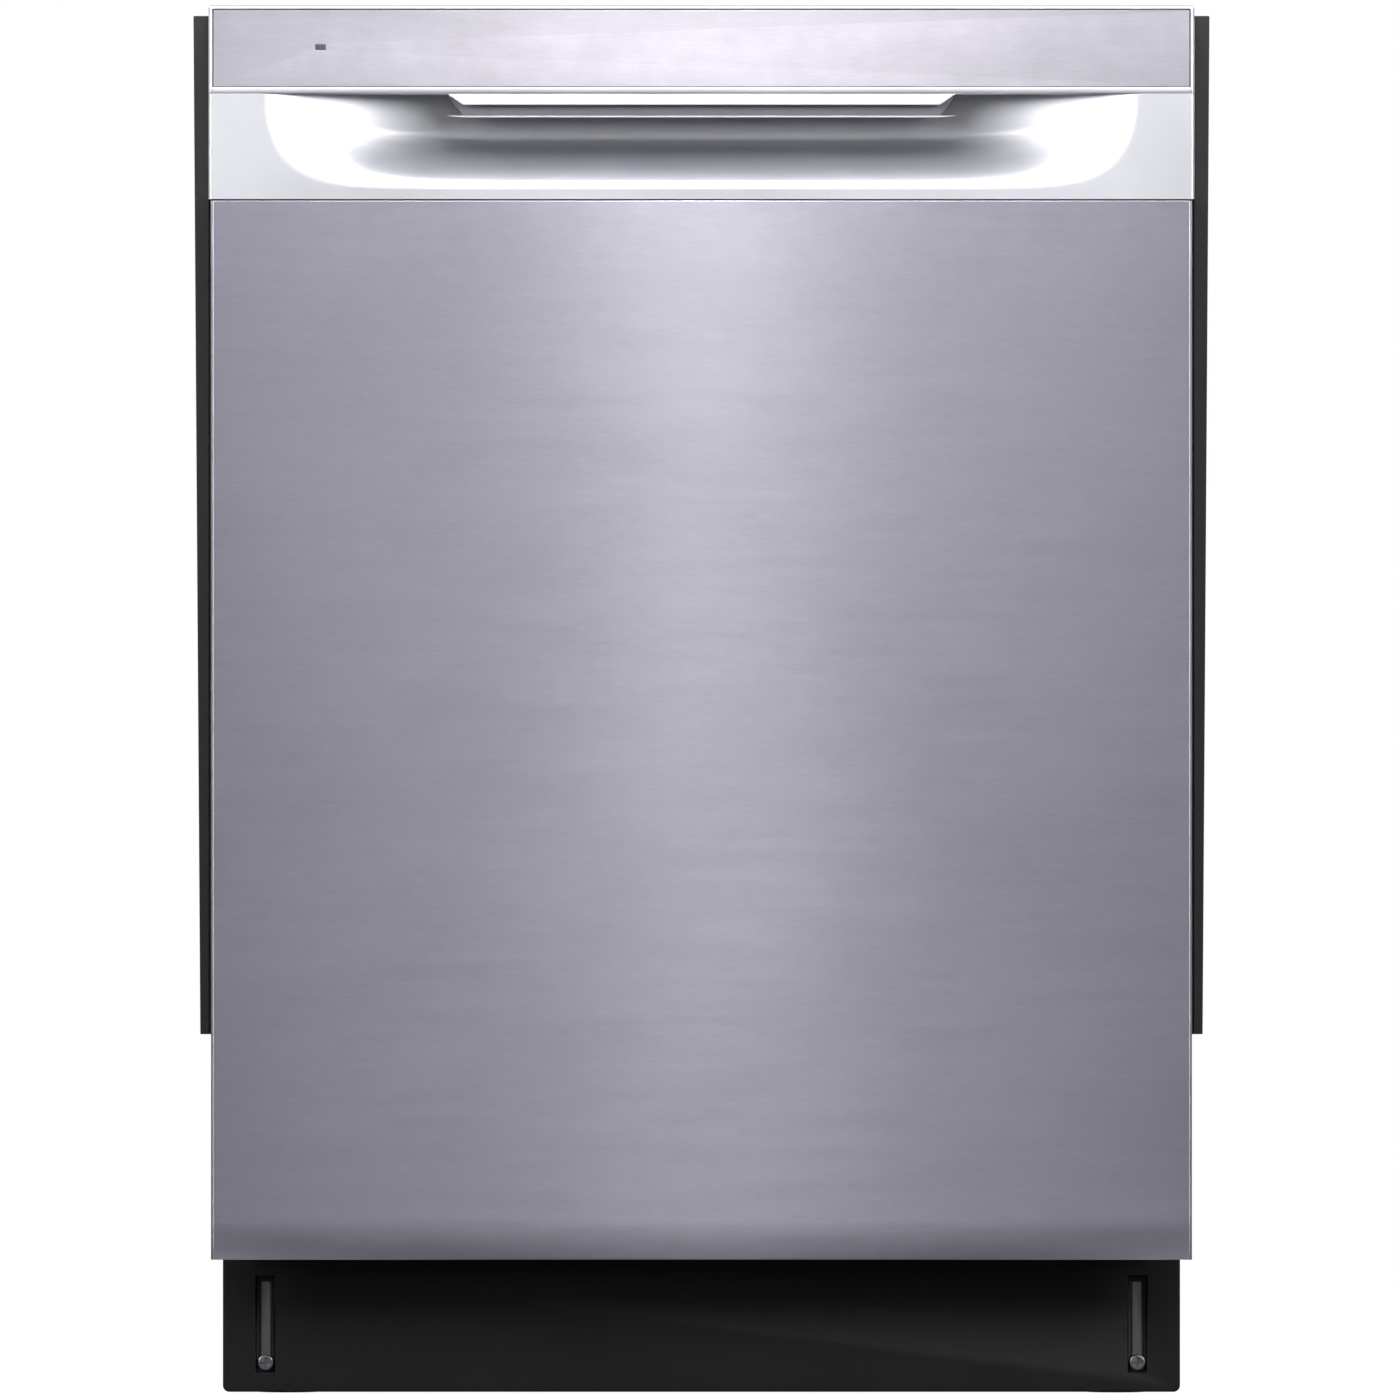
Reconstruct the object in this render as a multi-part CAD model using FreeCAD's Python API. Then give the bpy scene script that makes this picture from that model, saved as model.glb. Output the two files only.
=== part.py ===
import FreeCAD, Part
import math
import os

os.makedirs("parts", exist_ok=True)

# A built-in dishwasher for a 24 inch kitchen bay, all sizes in millimetres.
# The front of the door faces -Y, +X is to the right of someone facing it, +Z is up.
# The origin lies on the floor under the middle of the whole machine.

# Overall sizes
DOOR_WIDTH = 600.0
OVERALL_HEIGHT = 851.0
OVERALL_DEPTH = 620.0
DOOR_THICKNESS = 48.0
KICK_HEIGHT = 84.0
KICK_SETBACK = 82.0
CONSOLE_HEIGHT = 118.3
FASCIA_HEIGHT = 47.8
SEAL_REACH = 11.7

# Sheet and wall thicknesses
DOOR_SHEET = 1.0
TUB_SHEET = 1.6
MOULDING_WALL = 2.5
BLANKET = 7.0

# Handle pocket
POCKET_LENGTH = 537.0
POCKET_DEPTH = 34.0
POCKET_DROP = 58.5
LIP_DROP = 6.7
LIP_LENGTH = 311.0

# Racks and spray arms
WIRE = 4.0
BEND = 14.0
WHEEL_RADIUS = 16.5
LOWER_ARM_REACH = 225.0
MIDDLE_ARM_REACH = 212.0
TOP_ARM_REACH = 110.0

# Planes that several pieces share
FRONT = -OVERALL_DEPTH / 2
BACK = OVERALL_DEPTH / 2
DOOR_HALF = DOOR_WIDTH / 2
INNER_FACE = FRONT + DOOR_THICKNESS
LINER_HALF = DOOR_HALF - 13.5
LINER_RIM = FRONT + 24.0
PIVOT_Y = INNER_FACE - 8.0
PIVOT_Z = KICK_HEIGHT + 34.0
CONSOLE_BOTTOM = OVERALL_HEIGHT - CONSOLE_HEIGHT
FASCIA_BOTTOM = OVERALL_HEIGHT - 2.2 - FASCIA_HEIGHT
POCKET_TOP = FASCIA_BOTTOM - 4.0

TUB_HALF = DOOR_HALF - 21.0
FRAME_HALF = DOOR_HALF - 14.5
FRAME_FRONT = INNER_FACE + 4.0
TUB_FRONT = FRAME_FRONT + 8.0
TUB_BACK = BACK - 36.0
TUB_TOP = OVERALL_HEIGHT - 16.0
LEDGE = PIVOT_Z + 10.0
BASIN = LEDGE - 18.0
KICK_FACE = FRONT + KICK_SETBACK
BASE_FRONT = KICK_FACE + 18.0
BASE_TOP = LEDGE - 3.0
SUMP_Y = 40.0
SUMP_RADIUS = 88.0
FILTER_Y = 80.0
CABLE_X = TUB_HALF - 55.0

UPPER_FLOOR = LEDGE + (TUB_TOP - LEDGE) * 0.487
UPPER_TOP = UPPER_FLOOR + 130.0
RAIL_Z = UPPER_FLOOR + 62.0
RACK_FRONT = INNER_FACE + 22.0
RACK_BACK = TUB_BACK - 38.0
LOWER_HALF = TUB_HALF - 39.0
UPPER_HALF = TUB_HALF - 20.0
LOWER_FLOOR = LEDGE + 39.0
LOWER_TOP = LOWER_FLOOR + 165.0
WHEEL_Z = LEDGE + WHEEL_RADIUS + 0.5
WHEEL_Y = (RACK_FRONT + 100.0, RACK_BACK - 86.0)
CUP_Z = (LOWER_TOP + UPPER_FLOOR) / 2 - 17.0


def vec(x, y, z):
    return FreeCAD.Vector(x, y, z)


def block(x0, x1, y0, y1, z0, z1):
    low = vec(min(x0, x1), min(y0, y1), min(z0, z1))
    return Part.makeBox(abs(x1 - x0), abs(y1 - y0), abs(z1 - z0), low)


def rod(start, end, radius):
    along = end.sub(start)
    return Part.makeCylinder(radius, along.Length, start, along)


def prism_x(points, x0, x1):
    loop = [vec(x0, y, z) for y, z in points]
    face = Part.Face(Part.makePolygon(loop + [loop[0]]))
    return face.extrude(vec(x1 - x0, 0, 0))


def prism_y(points, y0, y1):
    loop = [vec(x, y0, z) for x, z in points]
    face = Part.Face(Part.makePolygon(loop + [loop[0]]))
    return face.extrude(vec(0, y1 - y0, 0))


def prism_z(points, z0, z1):
    loop = [vec(x, y, z0) for x, y in points]
    face = Part.Face(Part.makePolygon(loop + [loop[0]]))
    return face.extrude(vec(0, 0, z1 - z0))


def mirrored(shape):
    return shape.mirror(vec(0, 0, 0), vec(1, 0, 0))


def upright_edges(shape, direction):
    found = []
    for edge in shape.Edges:
        if edge.Curve.TypeId != "Part::GeomLine":
            continue
        run = edge.Vertexes[-1].Point.sub(edge.Vertexes[0].Point)
        if abs(abs(run.normalize().dot(direction)) - 1.0) < 1e-6:
            found.append(edge)
    return found


def save(shape, name):
    clean = shape.removeSplitter() if len(shape.Solids) == 1 else shape
    clean.exportStep("parts/" + name + ".step")


# ---- The outside of the door ----

# One folded stainless sheet: flat front, sides and bottom returned towards the tub.
def outer_door_panel():
    top = CONSOLE_BOTTOM - 1.0
    skin = block(-DOOR_HALF, DOOR_HALF, FRONT, LINER_RIM, KICK_HEIGHT, top)
    front_edges = [
        edge
        for edge in upright_edges(skin, vec(0, 0, 1))
        if edge.CenterOfMass.y < FRONT + 1.0
    ]
    skin = skin.makeFillet(1.8, front_edges)
    hollow = block(
        -DOOR_HALF + DOOR_SHEET,
        DOOR_HALF - DOOR_SHEET,
        FRONT + DOOR_SHEET,
        LINER_RIM + 5,
        KICK_HEIGHT + DOOR_SHEET,
        top + 5,
    )
    return skin.cut(hollow)


# Cross-section of the scooped handle pocket at one place along the door.
def pocket_section(x, grow):
    share = min(abs(x) / (POCKET_LENGTH / 2), 0.9995)
    depth = 4.0 + (POCKET_DEPTH - 4.0) * (1.0 - share ** 2) ** 0.75 + grow
    low = POCKET_TOP - POCKET_DROP * (1.0 - share ** 14) ** 0.4545 - grow
    high = POCKET_TOP + grow
    tall = high - low
    mouth = FRONT - 4.0 if grow == 0 else FRONT + 0.5
    shape = (
        (mouth, low),
        (FRONT + 0.10 * depth, low + 0.03 * tall),
        (FRONT + 0.45 * depth, low + 0.16 * tall),
        (FRONT + 0.80 * depth, low + 0.42 * tall),
        (FRONT + 0.97 * depth, low + 0.70 * tall),
        (FRONT + depth, high),
        (mouth, high),
    )
    loop = [vec(x, y, z) for y, z in shape]
    return Part.makePolygon(loop + [loop[0]])


def pocket_body(grow):
    half = POCKET_LENGTH / 2 + grow
    steps = 12
    sections = []
    for i in range(-steps, steps + 1):
        turn = math.sin(math.pi / 2 * i / steps)
        place = half * turn
        sections.append(pocket_section_at(place, half, grow))
    return Part.makeLoft(sections, True, True)


def pocket_section_at(place, half, grow):
    scaled = place / half * (POCKET_LENGTH / 2)
    wire = pocket_section(scaled, grow)
    wire.translate(vec(place - scaled, 0, 0))
    return wire


# Moulded console across the top of the door, open at the back, with the handle scoop,
# a shallow seat for the fascia strip and a seat for the control strip on its top edge.
def handle_console():
    body = block(-DOOR_HALF, DOOR_HALF, FRONT, INNER_FACE - 2.0, CONSOLE_BOTTOM, OVERALL_HEIGHT)
    front_edges = [
        edge
        for edge in upright_edges(body, vec(0, 0, 1))
        if edge.CenterOfMass.y < FRONT + 1.0
    ]
    body = body.makeFillet(1.8, front_edges)
    wall = MOULDING_WALL
    hollow = block(
        -DOOR_HALF + wall,
        DOOR_HALF - wall,
        FRONT + wall,
        INNER_FACE + 5,
        CONSOLE_BOTTOM + wall,
        OVERALL_HEIGHT - wall,
    )
    shell = body.cut(hollow)
    shell = shell.fuse(pocket_body(wall))
    shell = shell.cut(pocket_body(0))
    seat_half = DOOR_HALF - 0.9
    seat = block(-seat_half, seat_half, FRONT - 5, FRONT + 1.5, FASCIA_BOTTOM, OVERALL_HEIGHT - 2.2)
    strip = block(
        30.0,
        DOOR_HALF - 18.0,
        FRONT + 9.0,
        INNER_FACE - 9.0,
        OVERALL_HEIGHT - 1.9,
        OVERALL_HEIGHT + 5,
    )
    shell = shell.cut(seat)
    shell = shell.cut(strip)
    for x, half in key_places():
        hole = block(
            x - half - 0.5,
            x + half + 0.5,
            FRONT + 15.0,
            INNER_FACE - 15.0,
            OVERALL_HEIGHT - 10,
            OVERALL_HEIGHT + 5,
        )
        shell = shell.cut(hole)
    slot = block(-17, 17, INNER_FACE - 24, INNER_FACE + 5, OVERALL_HEIGHT - 14, OVERALL_HEIGHT - 2.6)
    return shell.cut(slot)


# Grip lip clipped into the top of the scoop: the fingers pull on it.
def grip_insert():
    top = POCKET_TOP
    long_half = LIP_LENGTH / 2
    short_half = long_half - 9.7
    face = prism_y(
        (
            (-long_half, top),
            (-short_half, top - LIP_DROP),
            (short_half, top - LIP_DROP),
            (long_half, top),
        ),
        FRONT,
        FRONT + 4.0,
    )
    ledge = block(-long_half, long_half, FRONT + 4.0, FRONT + 22.0, top - 3.0, top)
    bar = block(-short_half, short_half, FRONT + 16.0, FRONT + 22.0, top - 13.7, top - 3.0)
    return face.fuse(ledge).fuse(bar)


# Brushed strip set flush into the console, with a window for the indicator.
def fascia_strip():
    half = DOOR_HALF - 1.5
    strip = block(
        -half,
        half,
        FRONT + 0.2,
        FRONT + 1.5,
        FASCIA_BOTTOM + 0.4,
        OVERALL_HEIGHT - 2.8,
    )
    strip = strip.makeFillet(1.6, upright_edges(strip, vec(0, 1, 0)))
    window = indicator_block(0.15, 4.0)
    return strip.cut(window)


def indicator_block(grow, deep):
    x = -DOOR_HALF + 67.0
    z = OVERALL_HEIGHT - 25.5
    return block(
        x - 3.05 - grow,
        x + 3.05 + grow,
        FRONT + 0.1 - deep + 1.0,
        FRONT + 1.5,
        z - 1.55 - grow,
        z + 1.55 + grow,
    )


def indicator_lens():
    return indicator_block(0.0, 1.0)


# Keys along the top edge of the door: centre and half width.
def key_places():
    pitch = (DOOR_HALF - 80.0) / 4
    keys = []
    for i in range(3):
        keys.append((60.0 + pitch * i, 13.0))
    keys.append((60.0 + pitch * 3, 20.0))
    return keys


def control_strip():
    top = OVERALL_HEIGHT - 0.6
    strip = block(30.3, DOOR_HALF - 18.3, FRONT + 9.3, INNER_FACE - 9.3, top - 1.3, top)
    for x, half in key_places():
        hole = block(x - half - 0.4, x + half + 0.4, FRONT + 15.1, INNER_FACE - 15.1, top - 5, top + 5)
        strip = strip.cut(hole)
    return strip


def control_key(place):
    x, half = place
    top = OVERALL_HEIGHT - 0.1
    cap = block(x - half, x + half, FRONT + 15.6, INNER_FACE - 15.6, top - 5.5, top)
    cap = cap.makeFillet(2.0, upright_edges(cap, vec(0, 0, 1)))
    stem = block(x - 4, x + 4, FRONT + 20, INNER_FACE - 20, top - 10.0, top - 5.5)
    return cap.fuse(stem)


# ---- The inside of the door ----

# Pressed stainless liner: a shallow tray with a rim that meets the outer panel.
def inner_door_panel():
    low = PIVOT_Z - 8.0
    high = CONSOLE_BOTTOM - 1.0
    top = OVERALL_HEIGHT - 2.6
    tray = block(-LINER_HALF, LINER_HALF, LINER_RIM, INNER_FACE, low, high)
    hollow = block(
        -LINER_HALF + 1.5,
        LINER_HALF - 1.5,
        LINER_RIM - 5,
        INNER_FACE - 2.0,
        low + 1.5,
        high + 5,
    )
    rim_half = DOOR_HALF - DOOR_SHEET
    rim = block(-rim_half, rim_half, LINER_RIM, LINER_RIM + 1.5, low, high)
    opening = block(-LINER_HALF + 1, LINER_HALF - 1, LINER_RIM - 5, LINER_RIM + 5, low + 1, high + 5)
    back = block(-LINER_HALF, LINER_HALF, INNER_FACE - 2.0, INNER_FACE, high - 1, top)
    liner = tray.cut(hollow).fuse(rim.cut(opening)).fuse(back)
    well = block(-74.5, 74.5, INNER_FACE - 9, INNER_FACE + 5, CUP_Z - 30.5, CUP_Z + 30.5)
    slot = block(-16, 16, INNER_FACE - 9, INNER_FACE + 5, OVERALL_HEIGHT - 12, OVERALL_HEIGHT - 3.4)
    return liner.cut(well).cut(slot)


# Dispenser housing let into the liner, with the powder cup and the rinse-aid well.
def detergent_dispenser():
    body = block(-74, 74, INNER_FACE - 20, INNER_FACE, CUP_Z - 30, CUP_Z + 30)
    flange = block(-78, 78, INNER_FACE, INNER_FACE + 1.5, CUP_Z - 34, CUP_Z + 34)
    body = body.fuse(flange)
    cup = block(-66, 8, INNER_FACE - 17, INNER_FACE + 9, CUP_Z - 24, CUP_Z + 24)
    cup = cup.makeFillet(5.0, upright_edges(cup, vec(0, 1, 0)))
    well = rod(vec(44, INNER_FACE - 12, CUP_Z), vec(44, INNER_FACE + 9, CUP_Z), 13.0)
    body = body.cut(cup).cut(well)
    for side in (-1, 1):
        x = -29 + side * 45.5
        lug = block(x - 1.5, x + 1.5, INNER_FACE + 1.5, INNER_FACE + 7.5, CUP_Z - 33, CUP_Z - 26)
        hole = rod(
            vec(x - 5, INNER_FACE + 4.5, CUP_Z - 29.5),
            vec(x + 5, INNER_FACE + 4.5, CUP_Z - 29.5),
            1.25,
        )
        body = body.fuse(lug).cut(hole)
    return body


# Flap over the powder cup, hinged along its lower edge.
def dispenser_lid():
    x = -29.0
    y = INNER_FACE + 4.5
    z = CUP_Z - 29.5
    barrel = rod(vec(x - 43.5, y, z), vec(x + 43.5, y, z), 2.4)
    pin = rod(vec(x - 47.0, y, z), vec(x + 47.0, y, z), 1.2)
    flap = block(x - 40, x + 40, y - 2.4, y + 0.4, z, CUP_Z + 27)
    return barrel.fuse(pin).fuse(flap)


# Screw-in cap of the rinse-aid tank with a finger bar.
def rinse_aid_cap():
    y = INNER_FACE + 1.9
    disc = rod(vec(44, y, CUP_Z), vec(44, y + 3.5, CUP_Z), 17.0)
    plug = rod(vec(44, y - 9, CUP_Z), vec(44, y, CUP_Z), 12.4)
    bar = block(30, 58, y + 3.5, y + 9.0, CUP_Z - 2.5, CUP_Z + 2.5)
    return disc.fuse(plug).fuse(bar)


# Latch case behind the top edge of the liner: the strike on the tub enters its slot.
def door_latch():
    top = OVERALL_HEIGHT - 3.4
    case = block(-24, 24, INNER_FACE - 24, INNER_FACE - 2.0, top - 26, top)
    slot = block(-15, 15, INNER_FACE - 20, INNER_FACE + 5, top - 8.6, top - 1.0)
    guide = rod(vec(0, INNER_FACE - 11, top - 24), vec(0, INNER_FACE - 11, top), 4.4)
    return case.cut(slot).cut(guide)


# Sprung bolt that snaps up behind the strike when the door is pushed shut.
def latch_bolt():
    top = OVERALL_HEIGHT - 3.4
    stem = rod(vec(0, INNER_FACE - 11, top - 19), vec(0, INNER_FACE - 11, top - 7.6), 4.0)
    return stem.makeChamfer(0.8, [stem.Edges[0]])


# Hinge arm screwed to each side of the door, with the pivot hole and the spring lever.
def hinge_arm():
    x0 = -LINER_HALF - 3.0
    x1 = -LINER_HALF
    y_low = LINER_RIM + 1.6
    outline = (
        (y_low, PIVOT_Z - 10),
        (PIVOT_Y, PIVOT_Z - 13),
        (PIVOT_Y + 20, PIVOT_Z - 27),
        (PIVOT_Y + 30, PIVOT_Z - 26),
        (PIVOT_Y + 30, PIVOT_Z - 18),
        (PIVOT_Y + 11, PIVOT_Z + 4),
        (PIVOT_Y + 6, PIVOT_Z + 30),
        (PIVOT_Y + 6, PIVOT_Z + 210),
        (y_low, PIVOT_Z + 210),
    )
    arm = prism_x(outline, x0, x1)
    pivot = rod(vec(x0 - 5, PIVOT_Y, PIVOT_Z), vec(x1 + 5, PIVOT_Y, PIVOT_Z), 5.0)
    eye = rod(vec(x0 - 5, PIVOT_Y + 25, PIVOT_Z - 22), vec(x1 + 5, PIVOT_Y + 25, PIVOT_Z - 22), 2.2)
    return arm.cut(pivot).cut(eye)


# ---- The base and what stands on the floor ----

# Folded steel tray that carries the tub: floor, two sides, back, sockets for the legs
# two tabs at the front for the toe panel, and openings at the back for hoses and cable.
def base_frame():
    half = TUB_HALF + TUB_SHEET
    outer = TUB_HALF + 4.0
    tray = block(-outer, outer, BASE_FRONT, BACK, 22, BASE_TOP)
    hollow = block(-half, half, BASE_FRONT - 5, BACK - 3, 25, BASE_TOP + 5)
    tray = tray.cut(hollow)
    rail = block(-half, half, BASE_FRONT, BASE_FRONT + 2, 25, 40)
    tray = tray.fuse(rail)
    for x, y in leg_places():
        socket = rod(vec(x, y, 25), vec(x, y, 78), 14.0)
        tray = tray.fuse(socket)
        bore = rod(vec(x, y, 15), vec(x, y, 74), 6.5)
        tray = tray.cut(bore)
    for x in kick_screw_places():
        tab = block(x - 12, x + 12, KICK_FACE + 7.5, KICK_FACE + 9.5, 10, 74)
        foot = block(x - 12, x + 12, KICK_FACE + 9.5, BASE_FRONT, 28, 31)
        hole = rod(vec(x, KICK_FACE, 18.8), vec(x, BASE_FRONT - 2, 18.8), 2.6)
        tray = tray.fuse(tab).fuse(foot).cut(hole)
    hoses = block(-TUB_HALF + 52, -112, BACK - 10, BACK + 10, 34, 88)
    hoses = hoses.makeFillet(8.0, upright_edges(hoses, vec(0, 1, 0)))
    cable = rod(vec(CABLE_X, BACK - 10, 54), vec(CABLE_X, BACK + 10, 54), 15.0)
    return tray.cut(hoses).cut(cable)


def leg_places():
    near = BASE_FRONT + 25.0
    far = BACK - 35.0
    side = TUB_HALF - 24.0
    return ((-side, near), (side, near), (-side, far), (side, far))


def kick_screw_places():
    return (-DOOR_HALF + 32.0, DOOR_HALF - 32.0)


# Adjustable leg: threaded stem with a broad foot, screwed fully in.
def leg(place):
    x, y = place
    stem = rod(vec(x, y, 8), vec(x, y, 72), 6.0)
    foot = Part.makeCone(19.0, 15.0, 8.0, vec(x, y, 0), vec(0, 0, 1))
    nut = hexagon(x, y, 10.0, 8.0, 15.0)
    return stem.fuse(foot).fuse(nut)


def hexagon(x, y, radius, z0, z1):
    points = []
    for i in range(6):
        turn = math.radians(60 * i)
        points.append((x + radius * math.cos(turn), y + radius * math.sin(turn)))
    return prism_z(points, z0, z1)


# Toe panel: a black sheet with two upright grooves, each with a slot for its screw.
def toe_kick_panel():
    half = DOOR_HALF - 5.8
    low = 1.0
    high = KICK_HEIGHT
    sheet = block(-half, half, KICK_FACE, KICK_FACE + 2, low, high)
    lower = [
        edge
        for edge in upright_edges(sheet, vec(0, 1, 0))
        if edge.CenterOfMass.z < low + 1.0
    ]
    sheet = sheet.makeFillet(4.0, lower)
    lip = block(-half, half, KICK_FACE + 2, KICK_FACE + 6, high - 2, high)
    sheet = sheet.fuse(lip)
    for x in kick_screw_places():
        boss = block(x - 7.7, x + 7.7, KICK_FACE, KICK_FACE + 7, 11, high - 10)
        groove = block(x - 5.7, x + 5.7, KICK_FACE - 5, KICK_FACE + 5, 13, high - 12)
        slot = block(x - 2.9, x + 2.9, KICK_FACE, KICK_FACE + 9, 15.5, high - 15)
        sheet = sheet.fuse(boss).cut(groove).cut(slot)
    return sheet


# Pan-head screws that clamp the toe panel in its slots.
def toe_kick_screws():
    screws = []
    for x in kick_screw_places():
        y = KICK_FACE + 4.8
        head = rod(vec(x, y - 3.0, 18.8), vec(x, y, 18.8), 5.2)
        head = head.makeFillet(1.2, [head.Edges[2]])
        shank = rod(vec(x, y, 18.8), vec(x, y + 7.5, 18.8), 2.4)
        screw = head.fuse(shank)
        for turn in (0, 1):
            wide = 3.4 if turn == 0 else 0.5
            tall = 0.5 if turn == 0 else 3.4
            recess = block(x - wide, x + wide, y - 4, y - 1.6, 18.8 - tall, 18.8 + tall)
            screw = screw.cut(recess)
        screws.append(screw)
    return Part.makeCompound(screws)


# Hinge bracket fixed to each side of the base, with the pivot pin of the door.
def hinge_bracket():
    x0 = -LINER_HALF - 7.0
    x1 = -LINER_HALF - 4.0
    outline = (
        (PIVOT_Y - 9, PIVOT_Z - 7),
        (PIVOT_Y - 9, PIVOT_Z + 7),
        (PIVOT_Y + 4, PIVOT_Z + 22),
        (BASE_FRONT + 13, PIVOT_Z + 22),
        (BASE_FRONT + 13, 40),
        (BASE_FRONT - 2, 40),
        (BASE_FRONT - 2, PIVOT_Z - 28),
        (BASE_FRONT - 16, PIVOT_Z - 11),
        (PIVOT_Y - 4, PIVOT_Z - 11),
    )
    plate = prism_x(outline, x0, x1)
    pin = rod(vec(x1, PIVOT_Y, PIVOT_Z), vec(-LINER_HALF - 0.2, PIVOT_Y, PIVOT_Z), 4.95)
    flange = block(x1, -TUB_HALF - 4.0, BASE_FRONT + 10, BASE_FRONT + 13, 40, KICK_HEIGHT)
    return plate.fuse(pin).fuse(flange)


# Counterbalance springs, one at each side, hooked to the lever of the hinge arm.
def door_springs():
    x = -LINER_HALF + 1.3
    y0 = PIVOT_Y + 25
    z = PIVOT_Z - 22
    hook = rod(vec(x - 4.0, y0, z), vec(x, y0, z), 1.1)
    lead = rod(vec(x, y0, z), vec(x, y0 + 62, z), 1.1)
    coil = rod(vec(x - 1.2, y0 + 60, z), vec(x - 1.2, y0 + 160, z), 3.2)
    tail = rod(vec(x - 1.2, y0 + 160, z), vec(x - 1.2, y0 + 200, z), 1.1)
    left = hook.fuse(lead).fuse(coil).fuse(tail)
    return Part.makeCompound([left, mirrored(left)])


# ---- The tub ----

# One sheet bent over the sides and top of the wash space.
def tub_wrapper():
    y0 = TUB_FRONT
    y1 = TUB_BACK
    low = LEDGE
    outer_half = TUB_HALF + TUB_SHEET
    outer = block(-outer_half, outer_half, y0, y1, low, TUB_TOP + TUB_SHEET)
    outer = rounded_top(outer, 22.0 + TUB_SHEET)
    inner = block(-TUB_HALF, TUB_HALF, y0 - 5, y1 + 5, low - 40, TUB_TOP)
    inner = rounded_top(inner, 22.0)
    shell = outer.cut(inner)
    return shell


def rounded_top(shape, radius):
    high = shape.BoundBox.ZMax
    edges = [
        edge
        for edge in upright_edges(shape, vec(0, 1, 0))
        if edge.CenterOfMass.z > high - 1.0
    ]
    return shape.makeFillet(radius, edges)


# Flat back of the wash space, welded into the wrapper.
def tub_back_panel():
    half = TUB_HALF + TUB_SHEET
    panel = block(-half, half, TUB_BACK, TUB_BACK + TUB_SHEET, BASIN, TUB_TOP + TUB_SHEET)
    return rounded_top(panel, 22.0 + TUB_SHEET)


# Floor of the wash space: a ledge along each side for the rack wheels, sloping to a basin
# with the sump opening.
def tub_floor():
    half = TUB_HALF + TUB_SHEET
    upper = (
        (-half, LEDGE),
        (-half + 54, LEDGE),
        (-half + 112, BASIN),
        (half - 112, BASIN),
        (half - 54, LEDGE),
        (half, LEDGE),
    )
    lower = tuple((x, z - 3.0) for x, z in reversed(upper))
    sheet = prism_y(upper + lower, TUB_FRONT, TUB_BACK)
    sill = prism_y(
        (
            (-half, LEDGE - 3),
            (-half + 54, LEDGE - 3),
            (-half + 112, BASIN - 3),
            (half - 112, BASIN - 3),
            (half - 54, LEDGE - 3),
            (half, LEDGE - 3),
            (half, LEDGE),
            (-half, LEDGE),
        ),
        TUB_FRONT,
        TUB_FRONT + 2.5,
    )
    hole = rod(vec(0, SUMP_Y, BASIN - 20), vec(0, SUMP_Y, BASIN + 20), SUMP_RADIUS + 0.5)
    x, y = float_place()
    stem_hole = rod(vec(x, y, BASIN - 20), vec(x, y, LEDGE + 5), 4.6)
    return sheet.fuse(sill).cut(hole).cut(stem_hole)


# Pressed frame around the mouth of the tub: two sides and the top.
def tub_front_frame():
    low = LEDGE
    high = OVERALL_HEIGHT - 4.0
    frame = block(-FRAME_HALF, FRAME_HALF, FRAME_FRONT, TUB_FRONT, low, high)
    frame = rounded_top(frame, 18.0)
    mouth = block(-TUB_HALF, TUB_HALF, FRAME_FRONT - 5, TUB_FRONT + 5, low - 5, TUB_TOP)
    mouth = rounded_top(mouth, 22.0)
    return frame.cut(mouth)


# Rubber door gasket on the face of the frame.
def tub_gasket():
    low = LEDGE + 6.0
    outer_half = FRAME_HALF - 1.0
    high = TUB_TOP + 5.5
    band = block(-outer_half, outer_half, INNER_FACE + 0.5, FRAME_FRONT, low, high)
    band = rounded_top(band, 20.0)
    inner = block(-TUB_HALF - 1, TUB_HALF + 1, FRAME_FRONT - 9, TUB_FRONT, low - 5, TUB_TOP + 1)
    inner = rounded_top(inner, 19.0)
    return band.cut(inner)


# Rubber flap beside the door that closes the gap to the cupboard; wider at the top.
def side_seal():
    low = OVERALL_HEIGHT * 0.26
    high = OVERALL_HEIGHT - 5.0
    root = -FRAME_HALF
    lip = -DOOR_HALF - 2.0
    web = block(root, lip, FRAME_FRONT + 2, FRAME_FRONT + 4, low, high)
    tip = prism_y(
        (
            (lip, low),
            (lip, high),
            (-DOOR_HALF - SEAL_REACH, high),
            (-DOOR_HALF - SEAL_REACH + 1.0, high - 100),
            (-DOOR_HALF - SEAL_REACH * 0.68, high - 330),
            (-DOOR_HALF - SEAL_REACH * 0.64, low),
        ),
        FRAME_FRONT - 1,
        FRAME_FRONT + 4,
    )
    return web.fuse(tip)


# Felt blanket wrapped over the tub against noise.
def sound_blanket():
    y0 = TUB_FRONT + 24
    y1 = TUB_BACK - 6
    low = LEDGE + 20
    inner_half = TUB_HALF + TUB_SHEET
    outer = block(
        -inner_half - BLANKET,
        inner_half + BLANKET,
        y0,
        y1,
        low,
        TUB_TOP + TUB_SHEET + BLANKET,
    )
    outer = rounded_top(outer, 22.0 + TUB_SHEET + BLANKET)
    inner = block(-inner_half, inner_half, y0 - 5, y1 + 5, low - 40, TUB_TOP + TUB_SHEET)
    inner = rounded_top(inner, 22.0 + TUB_SHEET)
    return outer.cut(inner)


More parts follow.
